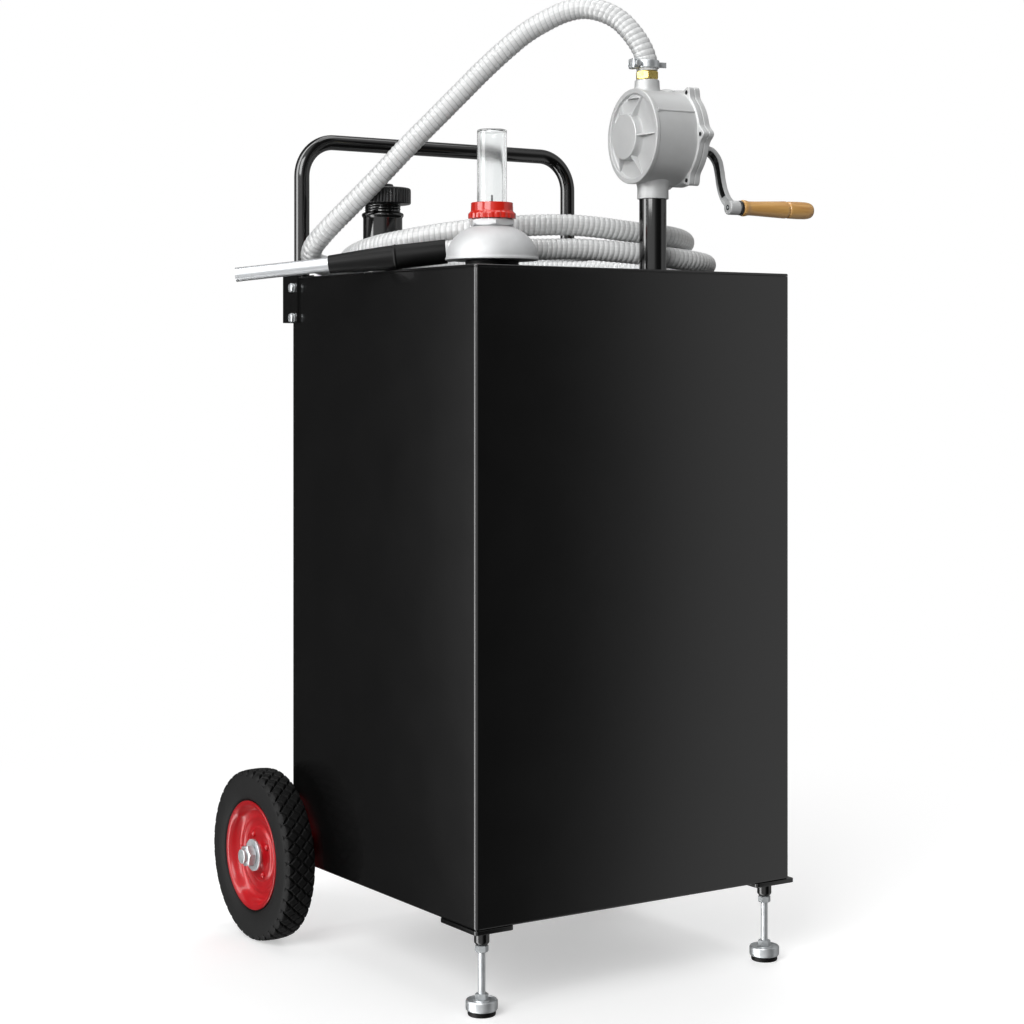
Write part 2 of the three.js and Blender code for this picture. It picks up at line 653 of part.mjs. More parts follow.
// Level gauge: a cast dome carries a clear tube, and a float arm in the tank lifts the pointer rod
function addGauge() {
  const gauge = addGroup(caddy, gaugeX, gaugeY, deckZ);
  const bore = stemDiameter / 2 + seam;
  addPiece(gauge, 'gauge_gasket', washer(bore, gasketDiameter / 2, seam, gasketHeight, manySides), 'blackRubber');

  const domeZ = gasketHeight + seam;
  const rimTop = domeZ + domeRim;
  const rise = domeHeight - domeRim;
  const domeRadius = domeDiameter / 2;
  const topAngle = Math.acos(domeTopDiameter / domeDiameter);
  const domeSteps = 7;
  const crown = Array.from({ length: domeSteps + 1 }, (_, k) => {
    const angle = topAngle * k / domeSteps;
    return [domeRadius * Math.cos(angle), rimTop + rise * Math.sin(angle) / Math.sin(topAngle)];
  });
  addPiece(gauge, 'gauge_dome', turned([
    [bore, domeZ], [domeRadius, domeZ], ...crown, [bore, rimTop + rise],
  ], manySides), 'castAluminium');

  const neckZ = rimTop + rise + seam;
  const neckTop = neckZ + gaugeNeckHeight;
  addPiece(gauge, 'gauge_neck', shaped(
    [hexBar(gaugeNeckFlats, neckZ, neckTop)], [bar(bore, neckZ - overrun, neckTop + overrun)]), 'castAluminium');

  const collarZ = neckTop + seam;
  const flangeTop = collarZ + collarFlangeHeight;
  const tubeRadius = gaugeTubeDiameter / 2;
  addPiece(gauge, 'gauge_collar', turned([
    [tubeRadius + seam, collarZ], [collarFlangeDiameter / 2, collarZ], [collarFlangeDiameter / 2, flangeTop],
    [collarDiameter / 2, flangeTop], [collarDiameter / 2, flangeTop + collarHeight],
    [tubeRadius + seam, flangeTop + collarHeight],
  ], manySides), 'redPlastic');

  const tubeIn = tubeRadius - gaugeTubeWall;
  const tubeTop = collarZ + gaugeTubeLength;
  addPiece(gauge, 'gauge_tube', turned([
    [0, tubeTop], [tubeRadius, tubeTop], [tubeRadius, collarZ], [tubeIn, collarZ],
    [tubeIn, tubeTop - gaugeTubeWall], [0, tubeTop - gaugeTubeWall],
  ], manySides, false), 'clearPlastic');

  const rodBore = rodDiameter / 2 + rodClearance;
  const fork = block(-forkWidth / 2, forkWidth / 2, -forkWidth / 2, forkWidth / 2,
    -stemDepth - forkHeight, -stemDepth + overrun);
  const slot = block(-forkSlot / 2, forkSlot / 2, -forkWidth, forkWidth,
    -stemDepth - forkHeight - overrun, -stemDepth - forkHeight + forkSlotDepth);
  const pinZ = -stemDepth - floatPinDrop;
  const pinHole = crossBar(floatPinDiameter / 2 + seam, -forkWidth, forkWidth, fewSides).translate(0, 0, pinZ);
  const rodHole = bar(rodBore, -stemDepth, neckTop + overrun, fewSides);
  addPiece(gauge, 'gauge_stem', shaped(
    [bar(stemDiameter / 2, -stemDepth, neckTop - seam), fork], [rodHole, slot, pinHole]), 'zincPlate');

  const pointerTop = neckTop + rodRise;
  addPiece(gauge, 'indicator_rod', shaped([
    bar(rodDiameter / 2, -stemDepth + seam, pointerTop, fewSides),
    bar(pointerDiameter / 2, pointerTop - pointerLength, pointerTop, fewSides),
  ]), 'blackPlastic');

  const arm = addGroup(gauge, 0, 0, pinZ);
  arm.rotation.x = -floatRestAngle;
  const alongArm = (geometry) => geometry.rotateX(-Math.PI / 2);
  addPiece(arm, 'float_arm', shaped([
    crossBar(floatEyeDiameter / 2, -floatEyeThickness / 2, floatEyeThickness / 2),
    crossBar(floatPinDiameter / 2, -forkWidth / 2, forkWidth / 2, fewSides),
    alongArm(bar(floatArmDiameter / 2, overrun, floatArmLength, fewSides)),
  ]), 'zincPlate');
  const floatNear = floatArmLength - floatArmInside;
  const floatRadius = floatDiameter / 2;
  const holeRadius = floatArmDiameter / 2 + seam;
  addPiece(arm, 'float', alongArm(turned([
    [holeRadius, floatNear], [floatRadius - floatEnd, floatNear], [floatRadius, floatNear + floatEnd],
    [floatRadius, floatNear + floatLength - floatEnd], [floatRadius - floatEnd, floatNear + floatLength],
    [0, floatNear + floatLength], [0, floatArmLength + seam], [holeRadius, floatArmLength + seam],
    [holeRadius, floatNear],
  ], someSides, false)), 'blackPlastic');
}

// Filler: a neck through the lid, with a screw cap over its threaded top
function addFiller() {
  const filler = addGroup(caddy, fillerX, fillerY, deckZ);
  const bore = fillerBore / 2;
  const neck = fillerDiameter / 2;
  const thread = fillerThreadDiameter / 2;
  const beadLow = fillerHeight - fillerBeadHeight;
  addPiece(filler, 'filler_neck', turned([
    [bore, -fillerBelow], [neck, -fillerBelow], [neck, beadLow], [neck + fillerBead, beadLow + fillerBead],
    [neck + fillerBead, fillerHeight], [thread, fillerHeight],
    [thread, fillerHeight + fillerThreadHeight], [bore, fillerHeight + fillerThreadHeight],
  ], manySides), 'blackPaint');
  const capLow = fillerHeight + capGap;
  const capTop = capLow + capHeight;
  const inside = capTop - capRoof;
  const capRadius = capDiameter / 2;
  const knob = capKnobDiameter / 2;
  addPiece(filler, 'filler_cap', turned([
    [0, inside], [thread + seam, inside], [thread + seam, capLow], [capRadius - lidEdge, capLow],
    [capRadius, capLow + lidEdge], [capRadius, capTop - lidEdge], [capRadius - lidEdge, capTop],
    [knob, capTop], [knob - capKnobHeight, capTop + capKnobHeight], [0, capTop + capKnobHeight],
  ], manySides, false), 'blackPlastic');
}

// Suction side: the stand pipe through the lid's socket, and the dip tube with its strainer
function addPipes() {
  const pipes = addGroup(caddy, pumpX, pumpY, deckZ);
  addPiece(pipes, 'stand_pipe',
    washer(pipeBore / 2, pipeDiameter / 2, -pipeBelow, pipeTop, manySides), 'blackPaint');
  const foot = -tankHeight + tankWall + dipTubeFloorGap;
  const shoulder = foot + strainerHeight;
  const outside = dipTubeDiameter / 2;
  const inside = dipTubeBore / 2;
  addPiece(pipes, 'dip_tube', turned([
    [inside, foot], [strainerDiameter / 2, foot], [strainerDiameter / 2, shoulder],
    [outside, shoulder + overrun], [outside, dipTubeInPipe - pipeBelow], [inside, dipTubeInPipe - pipeBelow],
  ]), 'blackPlastic');
}

const pump = addGroup(caddy, pumpX, pumpY, deckZ + pumpAxisRise);
pump.rotation.z = pumpYaw;
const coverLeft = pumpBodyRight + pumpFlangeThickness + seam;
const coverRight = coverLeft + coverThickness;

function lugs(radius, left, right, make = crossBar) {
  return Array.from({ length: lugCount }, (_, k) => {
    const angle = k * 2 * Math.PI / lugCount;
    return make(radius, left, right).translate(
      0, lugCircleRadius * Math.cos(angle), lugCircleRadius * Math.sin(angle));
  });
}

// Pump housing: a cast drum with necks below and above, ribs on its closed face and a flange on the other
function addPumpHousing() {
  const face = -pumpBodyLeft;
  const recess = crossBar(faceRecessRadius, face - overrun, face + faceRecessDepth, manySides);
  const drum = shaped([
    crossBar(pumpBodyRadius, face, pumpBodyRight + pumpFlangeThickness, manySides),
    crossBar(pumpFlangeRadius, pumpBodyRight, pumpBodyRight + pumpFlangeThickness, manySides),
    ...lugs(lugRadius, pumpBodyRight, pumpBodyRight + pumpFlangeThickness),
  ], [recess]);
  const ribSpan = faceRecessRadius + shaftOffset;
  const ribs = Array.from({ length: faceRibCount }, (_, k) => block(
    face, face + faceRecessDepth + overrun, 0, ribSpan, -faceRibThickness / 2, faceRibThickness / 2,
  ).rotateX(k * 2 * Math.PI / faceRibCount).translate(0, shaftOffset, 0));
  const ribLimit = crossBar(faceRecessRadius + overrun, face, 0, manySides);
  const clippedRibs = ribs.map((rib) => toGeometry(toSolid(rib).intersect(toSolid(ribLimit))));
  const boss = crossBar(faceBossRadius, face - faceBossProud, face + faceRecessDepth + overrun, manySides);
  const inlet = bar(inletNeckRadius, -inletNeckDrop, -chamberRadius, manySides);
  const outlet = bar(outletNeckRadius, chamberRadius, outletNeckRise, manySides).translate(-outletShift, 0, 0);
  const pipeSeat = bar(
    pipeDiameter / 2 + seam, -inletNeckDrop - overrun, pipeTop - pumpAxisRise + seam, manySides);
  const passages = [
    crossBar(chamberRadius, -chamberLeft, coverLeft, manySides),
    crossBar(shaftDiameter / 2 + seam, face - overrun, 0).translate(0, shaftOffset, 0),
    pipeSeat,
    bar(inletBore / 2, -inletNeckDrop, -chamberLeft),
    bar(outletBoreRadius, chamberLeft, outletNeckRise + overrun).translate(-outletShift, 0, 0),
    bar(outletThreadRadius, outletNeckRise - outletThreadDepth, outletNeckRise + overrun)
      .translate(-outletShift, 0, 0),
  ];
  addPiece(pump, 'pump_housing',
    shaped([drum, ...clippedRibs, boss.translate(0, shaftOffset, 0), inlet, outlet], passages), 'castAluminium');
}

function addPumpCover() {
  const stepRight = coverRight + coverStep;
  const screw = (flats, left, right) => hexBar(flats, left, right).rotateY(Math.PI / 2);
  const plate = [
    crossBar(pumpFlangeRadius, coverLeft, coverRight, manySides),
    crossBar(coverStepRadius, coverLeft, stepRight, manySides),
    crossBar(coverBossRadius, coverLeft, coverRight + coverBossLength).translate(0, shaftOffset, 0),
    ...lugs(lugRadius, coverLeft, coverRight),
    ...lugs(coverScrewFlats, coverRight - overrun, coverRight + coverScrewHeight, screw),
  ];
  const bore = crossBar(shaftDiameter / 2 + seam, coverLeft - overrun, coverRight + coverBossLength + overrun);
  addPiece(pump, 'pump_cover', shaped(plate, [bore.translate(0, shaftOffset, 0)]), 'castAluminium');
}

// Crank: shaft, rotor with two vanes, and the swan-necked arm whose pin carries the wooden grip
function addCrank() {
  const crank = addGroup(pump, 0, shaftOffset, 0);
  crank.rotation.x = -crankForward;
  const hubLeft = coverRight + coverBossLength + seam;
  const hubRight = hubLeft + crankHubLength;
  const nutLeft = hubRight + seam;
  const nutRight = nutLeft + crankNutHeight;
  const shaftRadius = shaftDiameter / 2;
  const threadRadius = shaftThreadDiameter / 2;
  const shaftEnd = nutRight + crankThreadEnd;
  const blindEnd = -pumpBodyLeft + faceRecessDepth;
  addPiece(crank, 'pump_shaft', shaped([
    crossBar(shaftRadius, blindEnd, hubRight), crossBar(threadRadius, blindEnd, shaftEnd),
  ]), 'zincPlate');

  const rotorLeft = -chamberLeft + seam;
  const rotorRight = coverLeft - 2 * seam;
  const vaneSlots = [-1, 1].map((side) => block(
    rotorLeft - overrun, rotorRight + overrun, -vaneThickness / 2 - seam, vaneThickness / 2 + seam,
    ...(side > 0 ? [vaneRoot, rotorRadius + overrun] : [-rotorRadius - overrun, -vaneRoot])));
  addPiece(crank, 'pump_rotor', shaped(
    [crossBar(rotorRadius, rotorLeft, rotorRight, manySides)],
    [crossBar(shaftRadius + seam, rotorLeft - overrun, rotorRight + overrun), ...vaneSlots]), 'zincPlate');
  ['lower', 'upper'].forEach((name, k) => {
    const near = vaneRoot + seam;
    const far = rotorRadius - seam;
    const [low, high] = k === 0 ? [-far, -near] : [near, far];
    addPiece(crank, `${name}_vane`,
      block(rotorLeft, rotorRight, -vaneThickness / 2, vaneThickness / 2, low, high), 'blackPlastic');
  });

  const bossRight = crankBossOut + crankBossLength;
  const armFrom = (hubLeft + hubRight) / 2;
  const armReach = (crankBossOut + bossRight) / 2 - armFrom;
  const armPath = crankOutShares.map((share, k) => new THREE.Vector3(
    armFrom + armReach * share, 0, -crankRadius * crankDownShares[k]));
  const section = new THREE.Shape();
  section.absellipse(0, 0, crankArmWidth / 2, crankArmThickness / 2, 0, 2 * Math.PI);
  const pinHoleRadius = gripPinDiameter / 2 + seam;
  addPiece(crank, 'crank_arm', shaped([
    crossBar(crankHubRadius, hubLeft, hubRight),
    swept(section, armPath),
    crossBar(crankBossRadius, crankBossOut, bossRight).translate(0, 0, -crankRadius),
  ], [
    crossBar(shaftRadius + seam, hubLeft - overrun, hubRight + overrun),
    crossBar(crankHubRadius, hubRight, nutRight + overrun),
    crossBar(pinHoleRadius, crankBossOut - overrun, bossRight + overrun).translate(0, 0, -crankRadius),
  ]), 'castAluminium');
  const nut = hexBar(crankNutFlats, nutLeft, nutRight).rotateY(Math.PI / 2);
  addPiece(crank, 'crank_nut', shaped(
    [nut], [crossBar(threadRadius + seam, nutLeft - overrun, nutRight + overrun)]), 'zincPlate');

  const gripAxis = addGroup(crank, 0, 0, -crankRadius);
  const headRight = crankBossOut - seam;
  const ferruleLeft = bossRight + seam;
  const gripLeft = ferruleLeft + ferruleLength + seam;
  addPiece(gripAxis, 'grip_pin', shaped([
    crossBar(gripPinHeadDiameter / 2, headRight - gripPinHeadHeight, headRight),
    crossBar(gripPinDiameter / 2, headRight - overrun, gripLeft + gripPinInGrip, fewSides),
  ]), 'zincPlate');
  addPiece(gripAxis, 'grip_ferrule', washer(
    pinHoleRadius, ferruleDiameter / 2, ferruleLeft, ferruleLeft + ferruleLength,
  ).rotateY(Math.PI / 2), 'blackPlastic');
  const outline = gripLengthShares.map((share, k) => [
    gripRadiusShares[k] * gripDiameter / 2, gripLeft + share * gripLength]);
  const boreEnd = gripLeft + gripPinInGrip + seam;
  addPiece(gripAxis, 'wooden_grip', turned([
    [pinHoleRadius, gripLeft], ...outline, [0, gripLeft + gripLength], [0, boreEnd], [pinHoleRadius, boreEnd],
    [pinHoleRadius, gripLeft],
  ], someSides, false).rotateY(Math.PI / 2), 'turnedWood');
}

// Outlet: a brass hose tail screwed into the pump's upper neck, and the clamp round the hose
function addOutlet() {
  const outlet = addGroup(pump, -outletShift, 0, 0);
  const hexLow = outletNeckRise + seam;
  const hexTop = hexLow + barbHexHeight;
  const threadLow = outletNeckRise - outletThreadDepth + seam;
  addPiece(outlet, 'hose_barb', shaped([
    bar(outletThreadRadius - seam, threadLow, hexTop), hexBar(barbFlats, hexLow, hexTop),
    bar(barbTailDiameter / 2, hexLow, hexTop + barbTailLength),
  ], [bar(barbBore / 2, threadLow - overrun, hexTop + barbTailLength + overrun)]), 'brass');

  const clampLow = hexTop + clampRise;
  const clampTop = clampLow + clampWidth;
  const bandIn = hoseDiameter / 2 + 2 * seam;
  const bandOut = bandIn + clampBand;
  const worm = block(-bandOut - wormDepth, -bandIn, -wormWidth / 2, wormWidth / 2,
    (clampLow + clampTop - wormHeight) / 2, (clampLow + clampTop + wormHeight) / 2);
  const screw = bar(wormScrewDiameter / 2, -wormScrewLength / 2, wormScrewLength / 2, fewSides)
    .rotateX(Math.PI / 2).translate(-bandOut - wormDepth / 2, 0, (clampLow + clampTop) / 2);
  addPiece(outlet, 'hose_clamp', shaped(
    [bar(bandOut, clampLow, clampTop, manySides), worm, screw],
    [bar(bandIn, clampLow - wormHeight, clampTop + wormHeight, manySides)]), 'zincPlate');
}

// Ribbed hose as one closed tube: rings of crest and trough outside, and a plain bore inside
function hoseCurve(points, before, after) {
  const all = points.map(([x, y, h]) => new THREE.Vector3(x, y, deckZ + h));
  const first = before ?? all[0].clone().multiplyScalar(2).sub(all[1]);
  const last = after ?? all.at(-1).clone().multiplyScalar(2).sub(all.at(-2));
  const whole = new THREE.CatmullRomCurve3([first, ...all, last], false, 'centripetal');
  const spans = all.length + 1;
  const count = (all.length - 1) * curveStepsPerPoint;
  const fine = Array.from({ length: count + 1 }, (_, k) => whole.getPoint((1 + k / curveStepsPerPoint) / spans));
  return fine;
}

function lengths(points) {
  const run = [0];
  for (let k = 1; k < points.length; k += 1) {
    run.push(run[k - 1] + points[k].distanceTo(points[k - 1]));
  }
  return run;
}

function pointAt(points, run, s) {
  let k = 1;
  while (k < run.length - 1 && run[k] < s) {
    k += 1;
  }
  const share = (s - run[k - 1]) / (run[k] - run[k - 1]);
  return new THREE.Vector3().lerpVectors(points[k - 1], points[k], share);
}

function ribbedHose(points) {
  const run = lengths(points);
  const total = run.at(-1);
  const ribs = Math.round(total / ribPitch);
  const pitch = total / ribs;
  const reach = pitch / 4;
  const along = (s) => pointAt(points, run, s);
  const heading = (s) => along(Math.min(s + reach, total)).sub(along(Math.max(s - reach, 0))).normalize();
  const side = new THREE.Vector3(0, 0, 1).cross(heading(0));
  if (side.length() < 0.5) {
    side.set(1, 0, 0);
  }
  const corners = [];
  const faces = [];
  const addRing = (s, radius) => {
    const forward = heading(s);
    side.addScaledVector(forward, -side.dot(forward)).normalize();
    const up = forward.clone().cross(side);
    const centre = along(s);
    for (let k = 0; k < hoseSides; k += 1) {
      const angle = 2 * Math.PI * k / hoseSides;
      const corner = centre.clone()
        .addScaledVector(side, radius * Math.cos(angle)).addScaledVector(up, radius * Math.sin(angle));
      corners.push(...corner.toArray());
    }
    return corners.length / 3 - hoseSides;
  };
  const joinRings = (a, b) => {
    for (let k = 0; k < hoseSides; k += 1) {
      const next = (k + 1) % hoseSides;
      faces.push(a + k, a + next, b + next, a + k, b + next, b + k);
    }
  };
  const crest = hoseDiameter / 2;
  const startSide = side.clone();
  const outer = [];
  const bore = [];
  for (let rib = 0; rib < ribs; rib += 1) {
    outer.push(addRing(rib * pitch, crest - (rib === 0 ? 0 : ribDepth)));
    outer.push(addRing((rib + 0.5) * pitch, crest));
  }
  outer.push(addRing(total, crest));
  side.copy(startSide);
  for (let rib = 0; rib <= ribs; rib += 1) {
    if (rib === 0 || rib % ribsPerBoreRing === 1 || rib === ribs) {
      bore.push(addRing(rib * pitch, hoseBore / 2));
    }
  }
  outer.slice(1).forEach((ring, k) => joinRings(outer[k], ring));
  bore.slice(1).forEach((ring, k) => joinRings(ring, bore[k]));
  joinRings(bore[0], outer[0]);
  joinRings(outer.at(-1), bore.at(-1));
  const geometry = new THREE.BufferGeometry();
  geometry.setAttribute('position', new THREE.Float32BufferAttribute(corners, 3));
  geometry.setIndex(faces);
  return toGeometry(toSolid(geometry));
}

// Least gap of a hose to itself, between places further apart along it than three diameters
function leastSelfGap(points) {
  const run = lengths(points);
  let least = Infinity;
  points.forEach((a, i) => {
    points.forEach((b, j) => {
      if (run[j] - run[i] > 3 * hoseDiameter) {
        least = Math.min(least, a.distanceTo(b) - hoseDiameter);
      }
    });
  });
  return least;
}

function addHose() {
  const lift = ([x, y, h]) => new THREE.Vector3(x, y, deckZ + h);
  const gripEnd = lift(gripEndPoint);
  const tip = lift(nozzleTipPoint);
  const forward = tip.clone().sub(gripEnd).normalize();
  const lastPoints = [hoseDiameter, hoseDiameter / 2, seam].map((back) => {
    const point = gripEnd.clone().addScaledVector(forward, -back);
    return [point.x, point.y, point.z - deckZ];
  });
  const riser = hoseCurve(riserPoints, null, lift(loopPoints[1]));
  const loops = hoseCurve([...loopPoints, ...lastPoints], lift(riserPoints.at(-2)), null);
  addPiece(caddy, 'hose_riser', ribbedHose(riser), 'hosePlastic');
  addPiece(caddy, 'hose_loops', ribbedHose(loops), 'hosePlastic');
  const gap = leastSelfGap([...riser, ...loops]);
  const length = lengths(riser).at(-1) + lengths(loops).at(-1);
  console.log(`hose length ${length.toFixed(0)} mm, least gap to itself ${gap.toFixed(2)} mm`);

  const nozzle = addGroup(caddy, ...gripEnd.toArray());
  nozzle.quaternion.setFromUnitVectors(new THREE.Vector3(0, 0, 1), forward);
  const gripRadius = nozzleGripDiameter / 2;
  const taperStart = nozzleGripLength - nozzleGripTaper;
  const tubeSeat = nozzleTubeDiameter / 2 + seam;
  const seatStart = nozzleGripLength - nozzleTubeInGrip;
  addPiece(nozzle, 'nozzle_grip', turned([
    [nozzleGripBore / 2, 0], [gripRadius, 0], [gripRadius, taperStart],
    [gripRadius + nozzleGripBead, taperStart + nozzleGripBead], [gripRadius, taperStart + 2 * nozzleGripBead],
    [nozzleGripNose / 2, nozzleGripLength], [tubeSeat, nozzleGripLength], [tubeSeat, seatStart - seam],
    [nozzleGripBore / 2, seatStart - seam],
  ]), 'blackRubber');
  addPiece(nozzle, 'nozzle_tube', washer(
    nozzleTubeBore / 2, nozzleTubeDiameter / 2, seatStart, tip.distanceTo(gripEnd), manySides), 'brightTube');
}

addTank();
addFoot('left', footInset, 0, footPlateWidth);
addFoot('right', tankWidth - footInset, tankWidth - footPlateWidth, tankWidth + rightFootPlateOverhang);
addWheel('left', -wheelOffset, -Math.PI / 2);
addWheel('right', tankWidth + wheelOffset, Math.PI / 2);
addAxle();
addHandle();
addHandleClip('left', false);
addHandleClip('right', true);
addGauge();
addFiller();
addPipes();
addPumpHousing();
addPumpCover();
addCrank();
addOutlet();
addHose();

// Origin: the middle of the footprint of everything but the hose and what it carries
caddy.updateMatrixWorld(true);
const footprint = new THREE.Box3();
caddy.traverse((node) => {
  if (node.isMesh && !hoseNames.includes(node.name)) {
    footprint.expandByObject(node, true);
  }
});
const middle = footprint.getCenter(new THREE.Vector3());
caddy.position.set(-middle.x, -middle.y, 0);

export default caddy;
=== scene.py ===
from math import cos, pi, radians, sin

import bmesh
import bpy
import numpy as np
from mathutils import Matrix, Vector


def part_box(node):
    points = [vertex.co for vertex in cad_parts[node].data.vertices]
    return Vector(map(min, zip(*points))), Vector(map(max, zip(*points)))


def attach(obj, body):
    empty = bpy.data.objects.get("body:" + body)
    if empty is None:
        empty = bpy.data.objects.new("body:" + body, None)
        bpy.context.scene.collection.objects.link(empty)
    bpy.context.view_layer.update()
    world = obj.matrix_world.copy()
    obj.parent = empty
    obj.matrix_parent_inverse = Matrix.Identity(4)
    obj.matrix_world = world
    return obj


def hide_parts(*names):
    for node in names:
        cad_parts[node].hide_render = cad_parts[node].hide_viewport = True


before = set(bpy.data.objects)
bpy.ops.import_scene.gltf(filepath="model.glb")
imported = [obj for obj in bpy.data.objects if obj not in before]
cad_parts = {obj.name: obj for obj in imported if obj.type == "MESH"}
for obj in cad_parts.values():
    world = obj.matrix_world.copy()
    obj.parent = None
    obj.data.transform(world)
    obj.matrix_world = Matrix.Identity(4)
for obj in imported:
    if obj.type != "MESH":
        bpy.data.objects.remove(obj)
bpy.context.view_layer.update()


# View
# A level camera off the tank's front left corner, with a long lens. Its shift moves the picture
# down without tilting it, so upright edges stay upright, as they do in a product picture.
scene = bpy.context.scene
view_data = bpy.data.cameras.new("view")
view_data.lens = 75.97
view_data.shift_y = -0.1367
view = bpy.data.objects.new("view", view_data)
view.location = (-1.477, -2.23, 0.701)
view.rotation_euler = (radians(90), 0, radians(-33.59))
scene.collection.objects.link(view)
scene.camera = view
scene.view_settings.view_transform = "Standard"


# Hose
# One length of clear PVC hose, 25.5 mm outside, with a spiral rib and a liner of woven yarn.
# It stands in an arch from the pump's outlet to the lid, and lies there in two loose loops.
def linear(colour):
    """Linear RGBA of an sRGB hex colour: ((c + 0.055) / 1.055) to the power 2.4, channel by channel."""
    share = np.array([int(colour[k:k + 2], 16) for k in (1, 3, 5)]) / 255
    return (*np.where(share > 0.04045, ((share + 0.055) / 1.055) ** 2.4, share / 12.92), 1.0)


def add_node(tree, kind, inputs=(), **settings):
    """Adds one shader node with its settings. Its inputs are values, or other nodes' outputs to link,
    where a node by itself stands for its first output."""
    made = tree.nodes.new("ShaderNode" + kind)
    for name, value in settings.items():
        setattr(made, name, value)
    for name, value in dict(inputs).items():
        if isinstance(value, bpy.types.Node):
            value = value.outputs[0]
        if isinstance(value, bpy.types.NodeSocket):
            tree.links.new(value, made.inputs[name])
        else:
            made.inputs[name].default_value = value
    return made


def empty_tree(owner):
    """The node tree of a material or a world, with nothing in it."""
    owner.use_nodes = True
    owner.node_tree.nodes.clear()
    return owner.node_tree


def centripetal(points, steps):
    """A smooth curve through points: between each two, a blend of the lines through the four nearest,
    with knots a square root of the distance apart (a pyramid of three rounds of blending)."""
    knots = np.concatenate([[0], np.cumsum(np.sqrt(np.linalg.norm(np.diff(points, axis=0), axis=1)))])
    share = np.linspace(0, 1, steps, endpoint=False)
    spans = []
    for k in range(1, len(points) - 2):
        t0, t1, t2, t3 = knots[k - 1:k + 3]
        t = (t1 + share * (t2 - t1))[:, None]
        p0, p1, p2, p3 = points[k - 1:k + 3]
        a1 = ((t1 - t) * p0 + (t - t0) * p1) / (t1 - t0)
        a2 = ((t2 - t) * p1 + (t - t1) * p2) / (t2 - t1)
        a3 = ((t3 - t) * p2 + (t - t2) * p3) / (t3 - t2)
        b1 = ((t2 - t) * a1 + (t - t0) * a2) / (t2 - t0)
        b2 = ((t3 - t) * a2 + (t - t1) * a3) / (t3 - t1)
        spans.append(((t2 - t) * b1 + (t - t1) * b2) / (t2 - t1))
    return np.concatenate([*spans, points[-2:-1]])


def even_steps(curve, count):
    """The same curve with count points an equal length apart, and its length."""
    run = np.concatenate([[0], np.cumsum(np.linalg.norm(np.diff(curve, axis=0), axis=1))])
    places = np.linspace(0, run[-1], count)
    return np.stack([np.interp(places, run, curve[:, k]) for k in range(3)], axis=1), run[-1]


def frames_along(path):
    """Two directions square to the path at each of its points. Each pair is the last one turned as
    little as the bend allows, so that lines along the surface don't twist."""
    ahead = np.gradient(path, axis=0)
    ahead /= np.linalg.norm(ahead, axis=1)[:, None]
    first = np.cross(ahead[0], [0, 1, 0] if abs(ahead[0][1]) < 0.9 else [1, 0, 0])
    side = [first / np.linalg.norm(first)]
    for direction in ahead[1:]:
        next_side = side[-1] - direction * (side[-1] @ direction)
        side.append(next_side / np.linalg.norm(next_side))
    side = np.array(side)
    return side, np.cross(ahead, side)


def full_turn(steps):
    """The angles of one turn in equal steps, without the last, which is the first again."""
    return np.linspace(0, 2 * pi, steps, endpoint=False)


def carried(path, radius, sides):
    """A round section carried along a path: path + radius (cos u side + sin u up), u over a full turn.
    The radius is one number, or a row for each point of the path."""
    side, up = frames_along(path)
    u = full_turn(sides)[None, :, None]
    radius = np.asarray(radius, float)
    radius = radius[..., None] if radius.ndim == 2 else radius.reshape(-1, 1, 1)
    return path[:, None] + radius * (np.cos(u) * side[:, None] + np.sin(u) * up[:, None])


def capped(rows):
    """Closes a stack of rings with a point at the middle of its first and last ring."""
    first, last = (
        np.repeat(ring.mean(axis=0)[None, None], rows.shape[1], axis=1) for ring in (rows[0], rows[-1]))
    return np.concatenate([first, rows, last])


def placed(points, origin, along, side):
    """Local x, y, z to the frame: origin + x side + y (along cross side) + z along."""
    along, side = np.array(along, float), np.array(side, float)
    along /= np.linalg.norm(along)
    side -= along * (side @ along)
    side /= np.linalg.norm(side)
    return np.array(origin) + points @ np.array([side, np.cross(along, side), along])


def add_piece(name, patches, finish, *stands_for, body="caddy", seat=None, sharp=35):
    """One closed mesh from patches. A patch is rows of points: each row closes on itself and is joined
    to the next, and a row that shrinks to a point closes an end. A finish is a material and its slot's
    name; the slot's name is not used. A seat is an origin and two directions, for patches that are drawn
    about their own axis."""
    material, slot = finish
    corners, faces, uv = [], [], []
    start = 0
    for points in patches:
        points = placed(points, *seat) if seat else points
        rows, columns = points.shape[:2]
        corners.append(points.reshape(-1, 3))
        row, column = np.meshgrid(np.arange(rows - 1), np.arange(columns), indexing="ij")
        after = (column + 1) % columns
        quad = np.stack([row * columns + column, row * columns + after,
                         (row + 1) * columns + after, (row + 1) * columns + column], axis=-1)
        faces.append(quad.reshape(-1, 4) + start)
        around = np.stack([column, column + 1, column + 1, column], axis=-1) / columns
        along = np.stack([row, row, row + 1, row + 1], axis=-1) / (rows - 1)
        uv.append(np.stack([along, around], axis=-1).reshape(-1, 2))
        start += rows * columns
    mesh = bpy.data.meshes.new(name)
    mesh.from_pydata(np.concatenate(corners), [], np.concatenate(faces).tolist())
    mesh.uv_layers.new(name="along_and_round").data.foreach_set("uv", np.concatenate(uv).ravel())
    joined = bmesh.new()
    joined.from_mesh(mesh)
    bmesh.ops.remove_doubles(joined, verts=joined.verts, dist=2e-6)
    bmesh.ops.dissolve_degenerate(joined, edges=joined.edges, dist=1e-7)
    bmesh.ops.recalc_face_normals(joined, faces=joined.faces)
    joined.to_mesh(mesh)
    joined.free()
    mesh.shade_smooth()
    mesh.set_sharp_from_angle(angle=radians(sharp))
    mesh.materials.append(material)
    piece = bpy.data.objects.new(name, mesh)
    scene.collection.objects.link(piece)
    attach(piece, body)
    if stands_for:
        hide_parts(*stands_for)
    return piece


